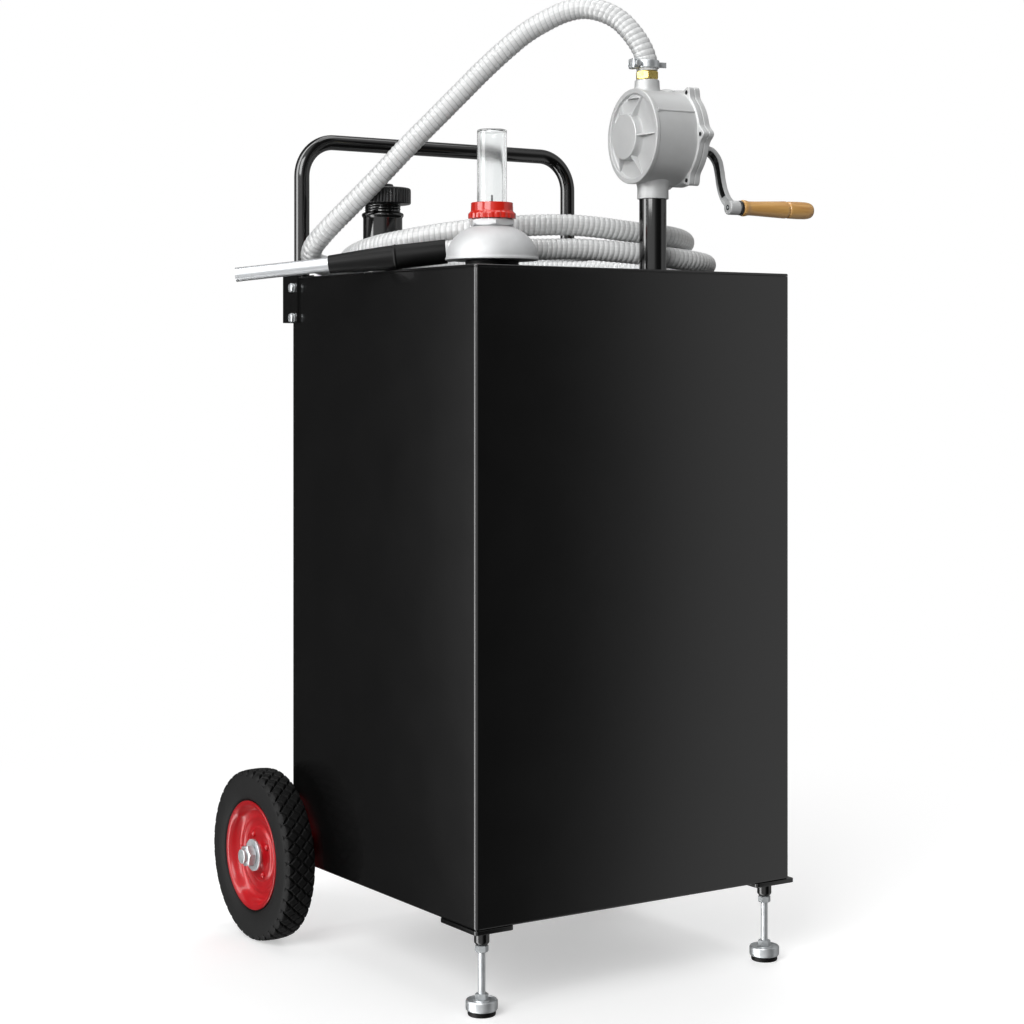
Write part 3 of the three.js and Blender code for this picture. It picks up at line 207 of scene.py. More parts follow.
shell_low, shell_high = (np.array(corner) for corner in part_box("tank_shell"))
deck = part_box("tank_top")[1].z
lid_origin = np.array([shell_low[0], shell_low[1], deck])

hose_diameter = 0.0255
hose_bore = 0.018
rib_pitch = 0.0064
rib_depth = 0.0007
rib_steps = 6
hose_sides = 24

# The hose's centre: from the left face, from the front face, above the lid
hose_points = np.array([
    (.28, .0648, .2361), (.2792, .0652, .249), (.2746, .0675, .2627), (.2656, .076, .2818),
    (.2548, .089, .2987), (.2417, .104, .3087), (.2285, .121, .3131), (.2144, .138, .31),
    (.1995, .155, .301), (.1822, .174, .287), (.1632, .1905, .267), (.143, .208, .243),
    (.121, .226, .215), (.098, .244, .186), (.0765, .262, .1585), (.0577, .279, .1325),
    (.0418, .297, .1091), (.0264, .316, .0864), (.013, .334, .0662), (.004, .352, .0491),
    (.0004, .369, .0349), (.0059, .383, .0234), (.0229, .394, .016), (.0534, .402, .0133),
    (.0966, .4075, .0137), (.13, .4095, .015), (.16, .4095, .0155),
    (.19, .4095, .0155), (.235, .403, .016), (.282, .391, .02),
    (.326, .373, .028), (.365, .344, .037), (.395, .308, .042), (.413, .264, .043),
    (.419, .218, .042), (.413, .174, .041), (.394, .14, .043), (.364, .119, .046),
    (.328, .112, .0485), (.289, .114, .051), (.248, .122, .055), (.212, .133, .057),
    (.176, .148, .056), (.136, .167, .053), (.098, .187, .0485), (.07, .212, .0435),
    (.048, .242, .038), (.035, .276, .033), (.031, .31, .027), (.038, .345, .02),
    (.062, .371, .015), (.102, .381, .0133), (.15, .3815, .0133), (.205, .377, .0133),
    (.256, .366, .0133), (.305, .348, .0133), (.35, .322, .0133), (.388, .285, .0133),
    (.414, .241, .0133), (.428, .194, .0133), (.426, .149, .0138), (.407, .114, .0145),
    (.375, .095, .0165), (.336, .091, .0195), (.296, .097, .023), (.256, .108, .026),
    (.218, .12, .028), (.18, .132, .027), (.14, .139, .026), (.104, .1385, .025),
])
nozzle_start = np.array([.056, .15, .0215])
nozzle_tip = np.array([-.138, .299, -.0045])
nozzle_heading = (nozzle_tip - nozzle_start) / np.linalg.norm(nozzle_tip - nozzle_start)
last_points = nozzle_start - np.array([[hose_diameter], [hose_diameter / 2], [0.0003]]) * nozzle_heading
route = np.concatenate([hose_points, last_points]) + lid_origin
route = np.concatenate([[2 * route[0] - route[1]], route, [2 * route[-1] - route[-2]]])

# The curve is drawn fine first, and then in even steps, six to a rib
hose_line, hose_length = even_steps(centripetal(route, 24), 6000)
rib_count = round(hose_length / rib_pitch)
hose_line, hose_length = even_steps(hose_line, rib_count * rib_steps + 1)


# Clear PVC with a spiral rib looks whitish and glossy on the crests. Its colour is greyer at the rib's
# foot, painted shade in the crease, and greyer where the yarns cross. The lengthwise yarns lie 4 mm
# apart, and clouds of 10 mm make the lines come and go.
yarns = 20
ribbed_pvc = bpy.data.materials.new("ribbed_pvc")
tree = empty_tree(ribbed_pvc)
axes = add_node(tree, "SeparateXYZ", {0: add_node(tree, "UVMap", uv_map="along_and_round")}).outputs
rib = add_node(tree, "Math", {0: axes[0], 1: float(rib_count)}, operation="MULTIPLY")
wound = add_node(tree, "Math", {0: rib, 1: axes[1]}, operation="ADD")
yarn = add_node(tree, "Math", {0: axes[1], 1: float(yarns)}, operation="MULTIPLY")
lines = []
# The spiral line is painted shade at the rib's foot, and the lengthwise line is the liner's yarns
for turns, width, weight in ((wound, 0.13, 0.6), (yarn, 0.12, 0.26)):
    near = add_node(tree, "Math", {0: turns, 1: 0.5}, operation="PINGPONG")
    lines.append(add_node(tree, "MapRange", {0: near, 1: 0.0, 2: width, 3: weight, 4: 0.0}))
rib_shade_and_yarn_lines = add_node(tree, "Math", {0: lines[0], 1: lines[1]}, operation="MAXIMUM")
place = add_node(tree, "TexCoord").outputs["Object"]
cloud = add_node(tree, "TexNoise", {"Vector": place, "Scale": 1 / 0.01, "Detail": 3.0})
strength = add_node(tree, "MapRange", {0: cloud, 3: 0.5, 4: 1.3})
rib_shade_and_yarn_share = add_node(tree, "Math", {0: rib_shade_and_yarn_lines, 1: strength}, operation="MULTIPLY")
shade = add_node(tree, "Mix", {0: rib_shade_and_yarn_share, 6: linear("#DBDCDC"), 7: linear("#77797A")}, data_type="RGBA")
whitish = add_node(tree, "BsdfPrincipled", {
    "Base Color": shade.outputs[2], "Roughness": 0.3, "IOR": 1.53, "Subsurface Weight": 0.3,
    "Subsurface Radius": (0.004, 0.004, 0.004), "Subsurface Scale": 1.0})
add_node(tree, "OutputMaterial", {"Surface": whitish})
hose_finish = (ribbed_pvc, "hose_plastic")

rib_turn = np.linspace(0, 2 * pi * rib_count, len(hose_line))[:, None]
round_turn = full_turn(hose_sides)[None]
hose_radius = hose_diameter / 2 - rib_depth * (0.5 + 0.5 * np.cos(rib_turn + round_turn)) ** 2
hose_outside = carried(hose_line, hose_radius, hose_sides)
hose_inside = carried(hose_line[::rib_steps], hose_bore / 2, hose_sides)
hose = add_piece(
    "delivery_hose",
    [hose_outside, np.concatenate([hose_outside[-1:], hose_inside[::-1], hose_outside[:1]])],
    hose_finish, "hose_riser", "hose_loops", sharp=60)


# Nozzle
# A soft rubber grip moulded over the hose's end, tapering to a nose with a parting seam half way,
# and an aluminium tube pushed into it.
def eased(profile, radius, steps=5, closed=False):
    """A profile with each corner rounded: the parabola that leaves one side and meets the next at radius
    from the corner, or half a side if that is less."""
    corner = np.array(profile, float)
    to_last, to_next = np.roll(corner, 1, axis=0) - corner, np.roll(corner, -1, axis=0) - corner
    radius = np.broadcast_to(np.asarray(radius, float), len(corner))

    def share(side):
        reach = np.maximum(np.linalg.norm(side, axis=1), 1e-9)
        return (np.minimum(radius, reach * 0.499) / reach)[:, None]

    first, last = corner + to_last * share(to_last), corner + to_next * share(to_next)
    t = np.linspace(0, 1, steps)[None, :, None]
    curve = (1 - t) ** 2 * first[:, None] + 2 * t * (1 - t) * corner[:, None] + t ** 2 * last[:, None]
    columns = corner.shape[1]
    if closed:
        return np.concatenate([curve.reshape(-1, columns), curve[0, :1]])
    return np.concatenate([corner[:1], curve[1:-1].reshape(-1, columns), corner[-1:]])


def about_axis(radius, height, u):
    """Rows of points about z at the angles u: (radius cos u, radius sin u, height)."""
    return np.stack([radius * np.cos(u), radius * np.sin(u), height + 0 * u], axis=-1)


def turned(profile, rounding=None, sides=64, closed=False):
    """A profile of radius and height, its corners eased by their rounding, turned about z."""
    if rounding is not None:
        profile = eased(profile, rounding, closed=closed)
    profile = np.array(profile, float)
    return about_axis(profile[:, :1], profile[:, 1:], full_turn(sides))


def uneven_finish(name, slot, constants, shades, roughness, blotch, relief,
                  stretch=(1, 1, 1), turn=(0, 0, 0)):
    """A real surface's unevenness, in two sizes. Blotches of one size in metres carry the colour from one
    shade to another and the roughness between two values. A finer relief, of a size and a depth, tilts
    the light. Both are stretched along the axes of a frame that is turned by three angles."""
    material = bpy.data.materials.new(name)
    tree = empty_tree(material)
    place = add_node(tree, "TexCoord").outputs["Object"]
    mapped = add_node(
        tree, "Mapping", {"Vector": place, "Rotation": turn, "Scale": stretch}, vector_type="TEXTURE")
    cloud, fine = (
        add_node(tree, "TexNoise", {"Vector": mapped, "Scale": 1 / size, "Detail": detail})
        for size, detail in ((blotch, 3.0), (relief[0], 1.0)))
    shade = add_node(tree, "Mix", {
        0: cloud, 6: linear(shades[0]), 7: linear(shades[1])}, data_type="RGBA")
    shader = add_node(tree, "BsdfPrincipled", {
        **constants, "Base Color": shade.outputs[2],
        "Roughness": add_node(tree, "MapRange", {0: cloud, 3: roughness[0], 4: roughness[1]}),
        "Normal": add_node(tree, "Bump", {"Height": fine, "Distance": relief[1]})})
    add_node(tree, "OutputMaterial", {"Surface": shader})
    return material, slot


# Moulded black rubber is matt, with greyer patches from handling and a fine skin of 0.8 mm. Aluminium
# tube, drawn through a die, is satin, with lines 2 mm apart that run along it.
rubber = uneven_finish(
    "moulded_rubber", "black_rubber", {"IOR": 1.52, "Specular IOR Level": 0.11}, ("#060606", "#0E0E0E"),
    roughness=(0.38, 0.55), blotch=0.03, relief=(0.0008, 0.00008))
lengthwise = Vector(nozzle_heading).to_track_quat("Z", "Y").to_euler()
drawn_aluminium = uneven_finish(
    "drawn_aluminium", "bright_tube", {"Metallic": 0.8}, ("#9A9C9E", "#C6C8CA"),
    roughness=(0.5, 0.38), blotch=0.002, relief=(0.001, 0.00002), stretch=(1, 1, 60), turn=lengthwise)
nozzle_seat = (nozzle_start + lid_origin, nozzle_heading, np.cross(nozzle_heading, [0, 0, 1]))
rubber_grip = turned([
    (.006, 0), (.014, 0), (.014, .057), (.0148, .0585), (.0148, .0592), (.014, .0607),
    (.0134, .085), (.0104, .137), (.00845, .137), (.00845, .076), (.006, .076),
], [0, .0012, .0004, .0004, .0004, .0004, .02, .0012, .0005, 0, 0], closed=True)
nozzle_grip = add_piece("nozzle_grip_rubber", [rubber_grip], rubber, "nozzle_grip", seat=nozzle_seat)


def dress(node, finish, crease=35):
    """Gives a CAD node its material, and smooth shading: its loose triangles are joined, then parted
    again where they meet at more than the crease angle."""
    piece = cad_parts[node]
    piece.data.materials.clear()
    piece.data.materials.append(finish[0])
    piece.data.shade_smooth()
    if "custom_normal" in piece.data.attributes:
        piece.data.attributes.remove(piece.data.attributes["custom_normal"])
    weld = piece.modifiers.new("joined", "WELD")
    weld.merge_threshold = 0.00002
    parted = piece.modifiers.new("creased", "EDGE_SPLIT")
    parted.split_angle = radians(crease)
    return piece


nozzle_tube = dress("nozzle_tube", drawn_aluminium)
# Its mirror image in the tank's side would be a pale smear, which a product picture doesn't have
nozzle_tube.visible_glossy = False


# Studio
# A pale floor that runs out into plain white, and a white room. To glossy surfaces the room is dark,
# with a wide softbox and a bright strip to the left, and a softbox to the right, so that black paint
# has a shine.
bpy.ops.mesh.primitive_plane_add(size=60)
floor = bpy.context.object
floor.name = "studio_floor"
paper = bpy.data.materials.new("white_paper_sweep")
tree = empty_tree(paper)
rays = add_node(tree, "LightPath").outputs
paper_shade = add_node(tree, "Mix", {
    0: rays["Is Camera Ray"], 6: linear("#8C8C8C"), 7: linear("#DADADA")}, data_type="RGBA")
glow = add_node(tree, "Math", {0: rays["Is Camera Ray"], 1: 0.45}, operation="MULTIPLY")
sheet = add_node(tree, "BsdfPrincipled", {
    "Base Color": paper_shade.outputs[2], "Roughness": 0.9, "Specular IOR Level": 0.0,
    "Emission Color": linear("#FFFFFF"), "Emission Strength": glow})
# From 0.6 to 1.5 m from the caddy the paper fades into the plain white of the backdrop
far = add_node(tree, "VectorMath", {0: add_node(tree, "TexCoord").outputs["Object"]}, operation="LENGTH")
fade = add_node(tree, "MapRange", {
    0: far.outputs["Value"], 1: 0.6, 2: 1.5}, interpolation_type="SMOOTHSTEP")
seen_fade = add_node(tree, "Math", {0: fade, 1: rays["Is Camera Ray"]}, operation="MULTIPLY")
white = add_node(tree, "Emission", {"Color": linear("#FFFFFF"), "Strength": 1.0})
faded = add_node(tree, "MixShader", {0: seen_fade, 1: sheet, 2: white})
through = add_node(tree, "Math", {
    0: rays["Is Glossy Ray"], 1: rays["Is Transmission Ray"]}, operation="MAXIMUM")
mixed = add_node(tree, "MixShader", {0: through, 1: faded, 2: add_node(tree, "BsdfTransparent")})
add_node(tree, "OutputMaterial", {"Surface": mixed})
floor.data.materials.append(paper)

room = bpy.data.worlds.new("white_room")
scene.world = room
tree = empty_tree(room)
rays = add_node(tree, "LightPath").outputs
skyward = add_node(tree, "SeparateXYZ", {0: add_node(tree, "TexCoord").outputs["Generated"]}).outputs
frontward = add_node(tree, "Math", {0: skyward[1], 1: -1.0}, operation="MULTIPLY")
azimuth = add_node(tree, "Math", {0: skyward[0], 1: frontward}, operation="ARCTAN2")
reflected = add_node(tree, "ValToRGB", {0: add_node(tree, "MapRange", {0: azimuth, 1: -pi, 2: pi})})
# Degrees from the front towards the right, and how bright the room is there to a glossy surface
room_steps = (
    (-180, .12), (-162, .05), (-152, .05), (-147.5, .04), (-144, .14), (-139, .9), (-120, 1.2),
    (-119, 9.0), (-89, 9.0), (-88, 1.2), (-30, 1.1), (-14, .25), (0, .05), (28, .03), (32.5, .05),
    (35, .15), (37.2, .37), (39.5, .68), (42, .82), (55, .9), (70, .55), (90, .4), (150, .25), (180, .12))
ramp = reflected.color_ramp
while len(ramp.elements) < len(room_steps):
    ramp.elements.new(0.5)
for element, (angle, level) in zip(ramp.elements, room_steps):
    element.position = (angle + 180) / 360
    element.color = (level, level, level, 1.0)
plain_light = 0.26
seen_in_gloss = add_node(tree, "Mix", {
    0: rays["Is Glossy Ray"], 6: (plain_light,) * 3 + (1.0,), 7: reflected}, data_type="RGBA")
seen = add_node(tree, "Math", {
    0: rays["Is Camera Ray"], 1: rays["Is Transmission Ray"]}, operation="MAXIMUM")
seen_room = add_node(tree, "Mix", {
    0: seen, 6: seen_in_gloss.outputs[2], 7: linear("#FFFFFF")}, data_type="RGBA")
add_node(tree, "OutputWorld", {0: add_node(tree, "Background", {0: seen_room.outputs[2], 1: 1.0})})

# The fill lamp keeps the back and the right side from going dull. It isn't mirrored in the black paint,
# or seen through the clear tube.
for name, place, size, power, mirrored in (
        ("key_softbox", (-3.0, -2.0, 2.5), 2.2, 130, True),
        ("top_softbox", (0.3, 0.2, 3.4), 2.0, 30, True),
        ("fill_softbox", (2.6, 2.4, 2.2), 2.4, 55, False)):
    lamp_data = bpy.data.lights.new(name, "AREA")
    lamp_data.size = size
    lamp_data.energy = power
    lamp = bpy.data.objects.new(name, lamp_data)
    lamp.location = place
    lamp.visible_glossy = lamp.visible_transmission = mirrored
    lamp.rotation_euler = (Vector((0, 0, 0.6)) - lamp.location).to_track_quat("-Z", "Y").to_euler()
    scene.collection.objects.link(lamp)


# Tank
# A box folded from 2 mm sheet steel with bent corners, its lid a 3 mm plate with a small rounded edge.
# Both are sprayed with black enamel, a little uneven like orange peel.
def stacked(corners, radius, rows, steps=12):
    """A closed stack of rounded rectangles: each row is a distance in from the outline, and a height."""
    left, front, right, back = corners
    middle = np.array([(right, front), (right, back), (left, back), (left, front)])
    middle = middle + radius * np.array([(-1, 1), (-1, -1), (1, -1), (1, 1)])
    angle = np.radians(np.array([-90, 0, 90, 180]))[:, None] + np.linspace(0, pi / 2, steps)
    bend = np.stack([np.cos(angle), np.sin(angle)], axis=-1)
    inset, height = np.array(rows, float).T
    flat = middle[None, :, None] + (radius - inset)[:, None, None, None] * bend[None]
    flat = flat.reshape(len(inset), -1, 2)
    height = np.broadcast_to(height[:, None, None], flat.shape[:2] + (1,))
    return capped(np.concatenate([flat, height], axis=-1))


# Black enamel sprayed on steel has a soft gloss, with orange peel of 2 mm and faint duller patches. The
# tank's coat is satin. The gloss coat, on tubes and the filler, shows the lamps as sharp streaks.
satin_black = uneven_finish(
    "satin_black_enamel", "black_paint", {"Specular IOR Level": 0.5}, ("#0B0B0B", "#101010"),
    roughness=(0.15, 0.19), blotch=0.06, relief=(0.002, 0.000006))
gloss_black = uneven_finish(
    "gloss_black_enamel", "black_paint", {"Specular IOR Level": 0.6}, ("#090909", "#0F0F0F"),
    roughness=(0.07, 0.12), blotch=0.06, relief=(0.002, 0.000015))

tank_width, tank_depth, tank_corner = .443, .4233, .0045
wall, lid_seam = .002, .0003
tank_box = (shell_low[0], shell_low[1], shell_high[0], shell_high[1])
floor_low, rim_high = shell_low[2], shell_high[2]
shell_rows = eased([
    (tank_corner, floor_low), (0, floor_low), (0, rim_high), (wall, rim_high),
    (wall, floor_low + wall), (tank_corner, floor_low + wall)], [0, .0025, .0004, .0004, .002, 0])
add_piece("tank_body", [stacked(tank_box, tank_corner, shell_rows)], satin_black, "tank_shell")
lid_rows = eased([
    (tank_corner, rim_high + lid_seam), (0, rim_high + lid_seam), (0, deck), (tank_corner, deck)],
    [0, .0005, .0022, 0], steps=7)

# The socket welded under the lid, which the pump's pipe screws into
pump_foot = lid_origin + (.288, .064, 0)
socket = turned([(.0163, -.003), (.022, -.003), (.022, -.023), (.0163, -.023)], .0008, closed=True)
add_piece("tank_lid", [stacked(tank_box, tank_corner, lid_rows), socket + pump_foot],
          satin_black, "tank_top")


# Front feet
# Under each front corner a 5 mm plate with a welded sleeve takes a zinc-plated M8 stud. A locknut sits
# under the sleeve, and the stud ends in a hexagon and a dished disc over a rubber pad.
def hexagonal(flats, low, high, bore=0.0, chamfer=0.06):
    """A nut or a hexagon bar: at each angle the hexagon's radius, flats / 2 over the cosine of the angle
    from the nearest flat, cut off by a shallow cone at both ends."""
    u = full_turn(72)
    flat = flats / 2 / np.cos((u + pi / 6) % (pi / 3) - pi / 6)
    widest, face = flats / 2 / cos(pi / 6), flats / 2 * (1 - chamfer)
    limit = np.linspace(face, widest, 6)
    rise = (limit - face) * 0.58
    profile = np.concatenate([
        [(bore, low)], np.stack([limit, low + rise], axis=1),
        np.stack([limit, high - rise], axis=1)[::-1], [(bore, high)]])
    if bore:
        profile = np.concatenate([profile, profile[:1]])
    return about_axis(np.minimum(profile[:, :1], flat), profile[:, 1:], u)


# Zinc plating is bright and faintly blue, with dull patches of 6 mm and a fine crystal grain.
zinc = uneven_finish(
    "zinc_plated_steel", "zinc_plate", {"Metallic": 0.6}, ("#A2A6A8", "#CDD0D2"),
    roughness=(0.3, 0.45), blotch=0.006, relief=(0.0006, 0.00002))

plate_rows = eased([(.004, .0927), (0, .0927), (0, .0977), (.004, .0977)], [0, .0008, .0008, 0])
sleeve = turned([(0, .0767), (.006, .0767), (.0085, .0792), (.0085, .09), (.0097, .093), (0, .093)],
                [0, .0012, .0012, .002, 0, 0])
stud = turned([(0, .0085), (.004, .0085), (.004, .0843), (.0034, .0849), (0, .0849)],
              [0, 0, .0003, .0003, 0])
collar = turned([(0, .015), (.0092, .015), (.0092, .0164), (.008, .0172), (0, .0172)],
                [0, .0005, .0008, .0008, 0])
disc = turned([
    (.0043, .0056), (.0166, .0056), (.01765, .007), (.01775, .016), (.0168, .0174), (.0158, .0174),
    (.0148, .016), (.011, .0156), (.0043, .0156)], [0, .001, .0014, .001, .0006, .0006, .0008, 0, 0],
    closed=True)
pad = turned([(0, 0), (.0146, 0), (.0155, .001), (.0155, .006), (0, .006)], [0, .0006, .0008, .0006, 0])
plate_depth, plate_corner, stud_inset, nut_flats = .075, .004, .021, .013
for side, stud_x, plate_left, plate_right in (
        ("left", stud_inset, 0, .05), ("right", tank_width - stud_inset, .393, .451)):
    plate_box = (lid_origin[0] + plate_left, lid_origin[1],
                 lid_origin[0] + plate_right, lid_origin[1] + plate_depth)
    at_stud = np.array([lid_origin[0] + stud_x, lid_origin[1] + stud_inset, 0])
    add_piece(f"{side}_foot_plate", [stacked(plate_box, plate_corner, plate_rows), sleeve + at_stud],
              satin_black, f"front_{side}_foot_bracket")
    add_piece(f"{side}_foot_locknut", [hexagonal(nut_flats, .0689, .0764, bore=.0041) + at_stud],
              zinc, f"front_{side}_jam_nut")
    add_piece(f"{side}_foot_screw",
              [stud + at_stud, hexagonal(nut_flats, .017, .0238) + at_stud, collar + at_stud],
              zinc, f"front_{side}_foot_stud", body=f"{side}_foot")
    add_piece(f"{side}_foot_dish", [disc + at_stud], zinc, f"front_{side}_foot_disc", body=f"{side}_foot")
    add_piece(f"{side}_foot_rubber", [pad + at_stud],
              rubber, f"front_{side}_foot_pad", body=f"{side}_foot")


# Rear wheels
# A solid tyre with a tread of six-sided blocks sits on a pressed steel rim, sprayed glossy red. The rim
# is a deep dish with a rolled lip and a raised ring, welded to a hub tube that turns on the axle.
def tread(around, across, block_length, block_width, gap):
    """Depth share of the grooves between six-sided blocks. The blocks are the cells about two crossed
    grids of centres, and a groove falls from 1 at a cell's border to 0 at half a gap from it."""
    reach = np.hypot(block_length / 2, block_width)
    inside = 0
    for shift in (0.0, 0.5):
        dx = np.abs(around - block_length * (np.round(around / block_length - shift) + shift))
        dy = np.abs(across - 2 * block_width * (np.round(across / (2 * block_width) - shift) + shift))
        slant = (dx * block_length / 2 + dy * block_width) / reach
        border = np.minimum(block_length / 2 - dx, reach / 2 - slant)
        inside = np.maximum(inside, border)
    return np.clip(1.6 * (1 - inside / (gap / 2)), 0, 1)


# Vulcanised tyre rubber is a dull dark grey, with a bloom of paler dust and a grain of about 1 mm. The
# rim's red enamel is half glossy under a thin clear layer, with faint runs of 25 mm and dust of 2.5 mm.
tyre_finish = uneven_finish(
    "vulcanised_tyre_rubber", "tyre_rubber", {"IOR": 1.52, "Specular IOR Level": 0.1},
    ("#080808", "#101010"), roughness=(0.5, 0.68), blotch=0.018, relief=(0.0011, 0.0001))
red_paint = uneven_finish(
    "red_enamel_on_pressed_steel", "red_paint",
    {"Specular IOR Level": 0.2, "Coat Weight": 0.3, "Coat Roughness": 0.05, "Coat IOR": 1.5},
    ("#B2121A", "#C41E27"),
    roughness=(0.3, 0.4), blotch=0.025, relief=(0.0025, 0.00003))

tyre_radius, tyre_half, tread_half, tread_edge = .1045, .021, .0172, .1022
block_count = 40
axle_place = lid_origin + (0, .44, tyre_radius - deck)
axle_bore = .0083

# Half of the tyre's section, from its bead out to the edge of the tread: radius, and distance out
side_shape = eased([
    (.06, .0152), (.0678, .0152), (.07, .0188), (.0782, tyre_half), (.089, tyre_half),
    (.0975, .0202), (tread_edge, tread_half)], [0, .001, .002, .006, .01, .006, 0], steps=6)
tread_across = np.linspace(tread_half, -tread_half, 49)[1:-1]
tread_radius = tread_edge + (tyre_radius - tread_edge) * (1 - (tread_across / tread_half) ** 2) ** 0.5
tyre_shape = np.concatenate([
    side_shape, np.stack([tread_radius, tread_across], axis=1),
    side_shape[::-1] * (1, -1), side_shape[:1]])
tyre_turn = full_turn(720)
block_length = 2 * pi * tyre_radius / block_count
block_width, groove_width, groove_depth = .0085, .003, .0028
groove = tread(tyre_turn[None] * tyre_radius, tyre_shape[:, 1:], block_length, block_width, groove_width)
# The grooves run out on the shoulder, over 4 mm of radius
shoulder = np.clip((tyre_shape[:, :1] - .0965) / .004, 0, 1)
tyre = about_axis(tyre_shape[:, :1] - groove_depth * groove * shoulder, tyre_shape[:, 1:], tyre_turn)

rim = turned([
    (axle_bore, -.0409), (.015, -.0409), (.015, .0004), (.042, .0002), (.0569, .0004), (.0569, -.0172),
    (.0662, -.0184), (.067, -.0162), (.0648, -.0157), (.0594, -.014), (.0594, .014), (.0648, .0157),
    (.067, .0162), (.0662, .0184), (.06, .0172), (.056, .0048), (.05, .003), (.0452, .006),
    (.04, .0036), (.034, .0034), (.0318, .006), (.0205, .0066), (.016, .0085), (.015, .012),
    (axle_bore, .012)],
    [0, .001, .002, 0, .002, .004, .001, .001, .001, .003, .003, .001, .001, .001, .005, .006, .004,
     .004, .004, .002, .002, .003, .003, .0008, 0], sides=128, closed=True)
rivet = turned([(0, .01), (.002, .0096), (.0036, .008), (.0038, .005), (0, .005)],
               [0, .001, .001, 0, 0], sides=20)
rivet_circle, rivet_turns = .0262, np.arange(4) * pi / 2 + .5
rivets = [rivet + (rivet_circle * cos(turn), rivet_circle * sin(turn), 0) for turn in rivet_turns]
washer = turned([
    (axle_bore, .0123), (.0195, .0123), (.0195, .0153), (axle_bore, .0153)], .0006, closed=True)
axle_nut = hexagonal(.024, .0156, .0256, bore=axle_bore, chamfer=.05)
wheel_gap = .031
upright = (0, 0, 1)
for side, wheel_x, out in (("left", -wheel_gap, -1), ("right", tank_width + wheel_gap, 1)):
    hub_place = axle_place + (wheel_x, 0, 0)
    hub_seat = (hub_place, (out, 0, 0), upright)
    add_piece(f"{side}_wheel_tyre", [tyre], tyre_finish, f"{side}_tyre",
              body=f"{side}_wheel", seat=hub_seat, sharp=40)
    add_piece(f"{side}_wheel_rim", [rim] + rivets, red_paint, f"{side}_rim",
              body=f"{side}_wheel", seat=hub_seat)
    add_piece(f"{side}_hub_washer", [washer], zinc, f"{side}_axle_washer", seat=hub_seat)
    add_piece(f"{side}_hub_nut", [axle_nut], zinc, f"{side}_axle_nut",
              seat=(hub_place, (out, 0, 0), (0, .2, 1)))


# Axle
# One ground steel bar through both hubs, threaded at its ends for the nuts. Two ears of 4 mm plate,
# welded to the back of the tank, carry it.
def threaded(radius, low, high, pitch, depth, sides=48):
    """A screw thread as a surface: radius less depth times a wave that runs once round for each pitch."""
    rows = int(round((high - low) / pitch * 8)) + 1
    height = np.linspace(low, high, rows)[:, None]
    u = full_turn(sides)[None]
    wave = np.abs((height / pitch - u / (2 * pi)) % 1 - 0.5) * 2
    return about_axis(radius - depth * wave, height, u)


axle_reach, thread_end = .0615, .017
axle_run = tank_width + 2 * axle_reach
axle_bar = turned([
    (0, thread_end), (.008, thread_end), (.008, axle_run - thread_end), (0, axle_run - thread_end)],
    [0, .0006, .0006, 0])
axle_thread = capped(threaded(.0079, .006, .0175, pitch=.0015, depth=.0008))
button = turned([(0, 0), (.0085, 0), (.009, .0008), (.009, .0062), (0, .0062)],
                [0, .0008, .0008, .0006, 0])
axle_seats = [(axle_place - (axle_reach, 0, 0), (1, 0, 0), upright),
              (axle_place + (tank_width + axle_reach, 0, 0), (-1, 0, 0), upright)]
add_piece("axle_bar", [placed(axle_bar, *axle_seats[0])] + [
    placed(patch, *end) for end in axle_seats for patch in (axle_thread, button)],
    zinc, "axle")

back_face = lid_origin[1] + tank_depth
ear_turn = np.radians(np.linspace(-90, 45, 24))
ear_outline = np.concatenate([
    [(back_face, .098)],
    np.stack([axle_place[1] + .017 * np.cos(ear_turn), axle_place[2] + .017 * np.sin(ear_turn)], axis=1),
    [(back_face + .012, .1495), (back_face, .1495)]])
ear_middle = ear_outline.mean(axis=0)
# The first and last row are a little smaller, which rounds the plate's edges
ear_ring = ear_middle + np.array([.985, 1, 1, .985])[:, None, None] * (ear_outline - ear_middle)
for side, ear_x in (("left", .0105), ("right", .4285)):
    ear_depth = np.array([0, .0005, .0035, .004])[:, None, None] + lid_origin[0] + ear_x
    ear = np.concatenate([np.broadcast_to(ear_depth, ear_ring.shape[:2] + (1,)), ear_ring], axis=-1)
    add_piece(f"{side}_axle_plate", [capped(ear)], satin_black, f"{side}_axle_ear")


# Handle
# A 19 mm steel tube bent into a bow, in gloss black enamel. A clip folded from 2.5 mm sheet holds each
# leg to the tank's side with two bolts.
def folded_sheet(line, thickness, low, high, edge=.0004):
    """A strip of sheet folded along a line in plan: the line moved half the thickness to each side,
    between two heights, with its four long edges cut off a little."""
    ahead = np.gradient(line, axis=0)
    ahead /= np.linalg.norm(ahead, axis=1)[:, None]
    outward = np.stack([ahead[:, 1], -ahead[:, 0]], axis=1)
    half = thickness / 2
    section = np.array([
        (-half, low + edge), (-half + edge, low), (half - edge, low), (half, low + edge),
        (half, high - edge), (half - edge, high), (-half + edge, high), (-half, high - edge)])
    flat = line[:, None] + section[None, :, :1] * outward[:, None]
    height = np.broadcast_to(section[None, :, 1:], flat.shape[:2] + (1,))
    return capped(np.concatenate([flat, height], axis=-1))


handle_radius = .0095
handle_y = lid_origin[1] + .4328
handle_left, handle_right = lid_origin[0] + .019, lid_origin[0] + .424
handle_top, handle_foot, bend_radius = deck + .172, deck - .058, .045
arc = np.linspace(0, pi / 2, 25)
left_bend = np.stack([handle_left + bend_radius * (1 - np.cos(arc)), 0 * arc + handle_y,
                      handle_top - bend_radius * (1 - np.sin(arc))], axis=1)
leg = np.linspace(handle_foot, handle_top - bend_radius, 12)[:-1, None]
left_leg = np.concatenate([0 * leg + handle_left, 0 * leg + handle_y, leg], axis=1)
left_half = np.concatenate([left_leg, left_bend])
right_half = left_half[::-1] * (-1, 1, 1) + (handle_left + handle_right, 0, 0)
add_piece("handle_bow", [capped(carried(np.concatenate([left_half, right_half]), handle_radius, 40))],
          gloss_black, "handle_tube")

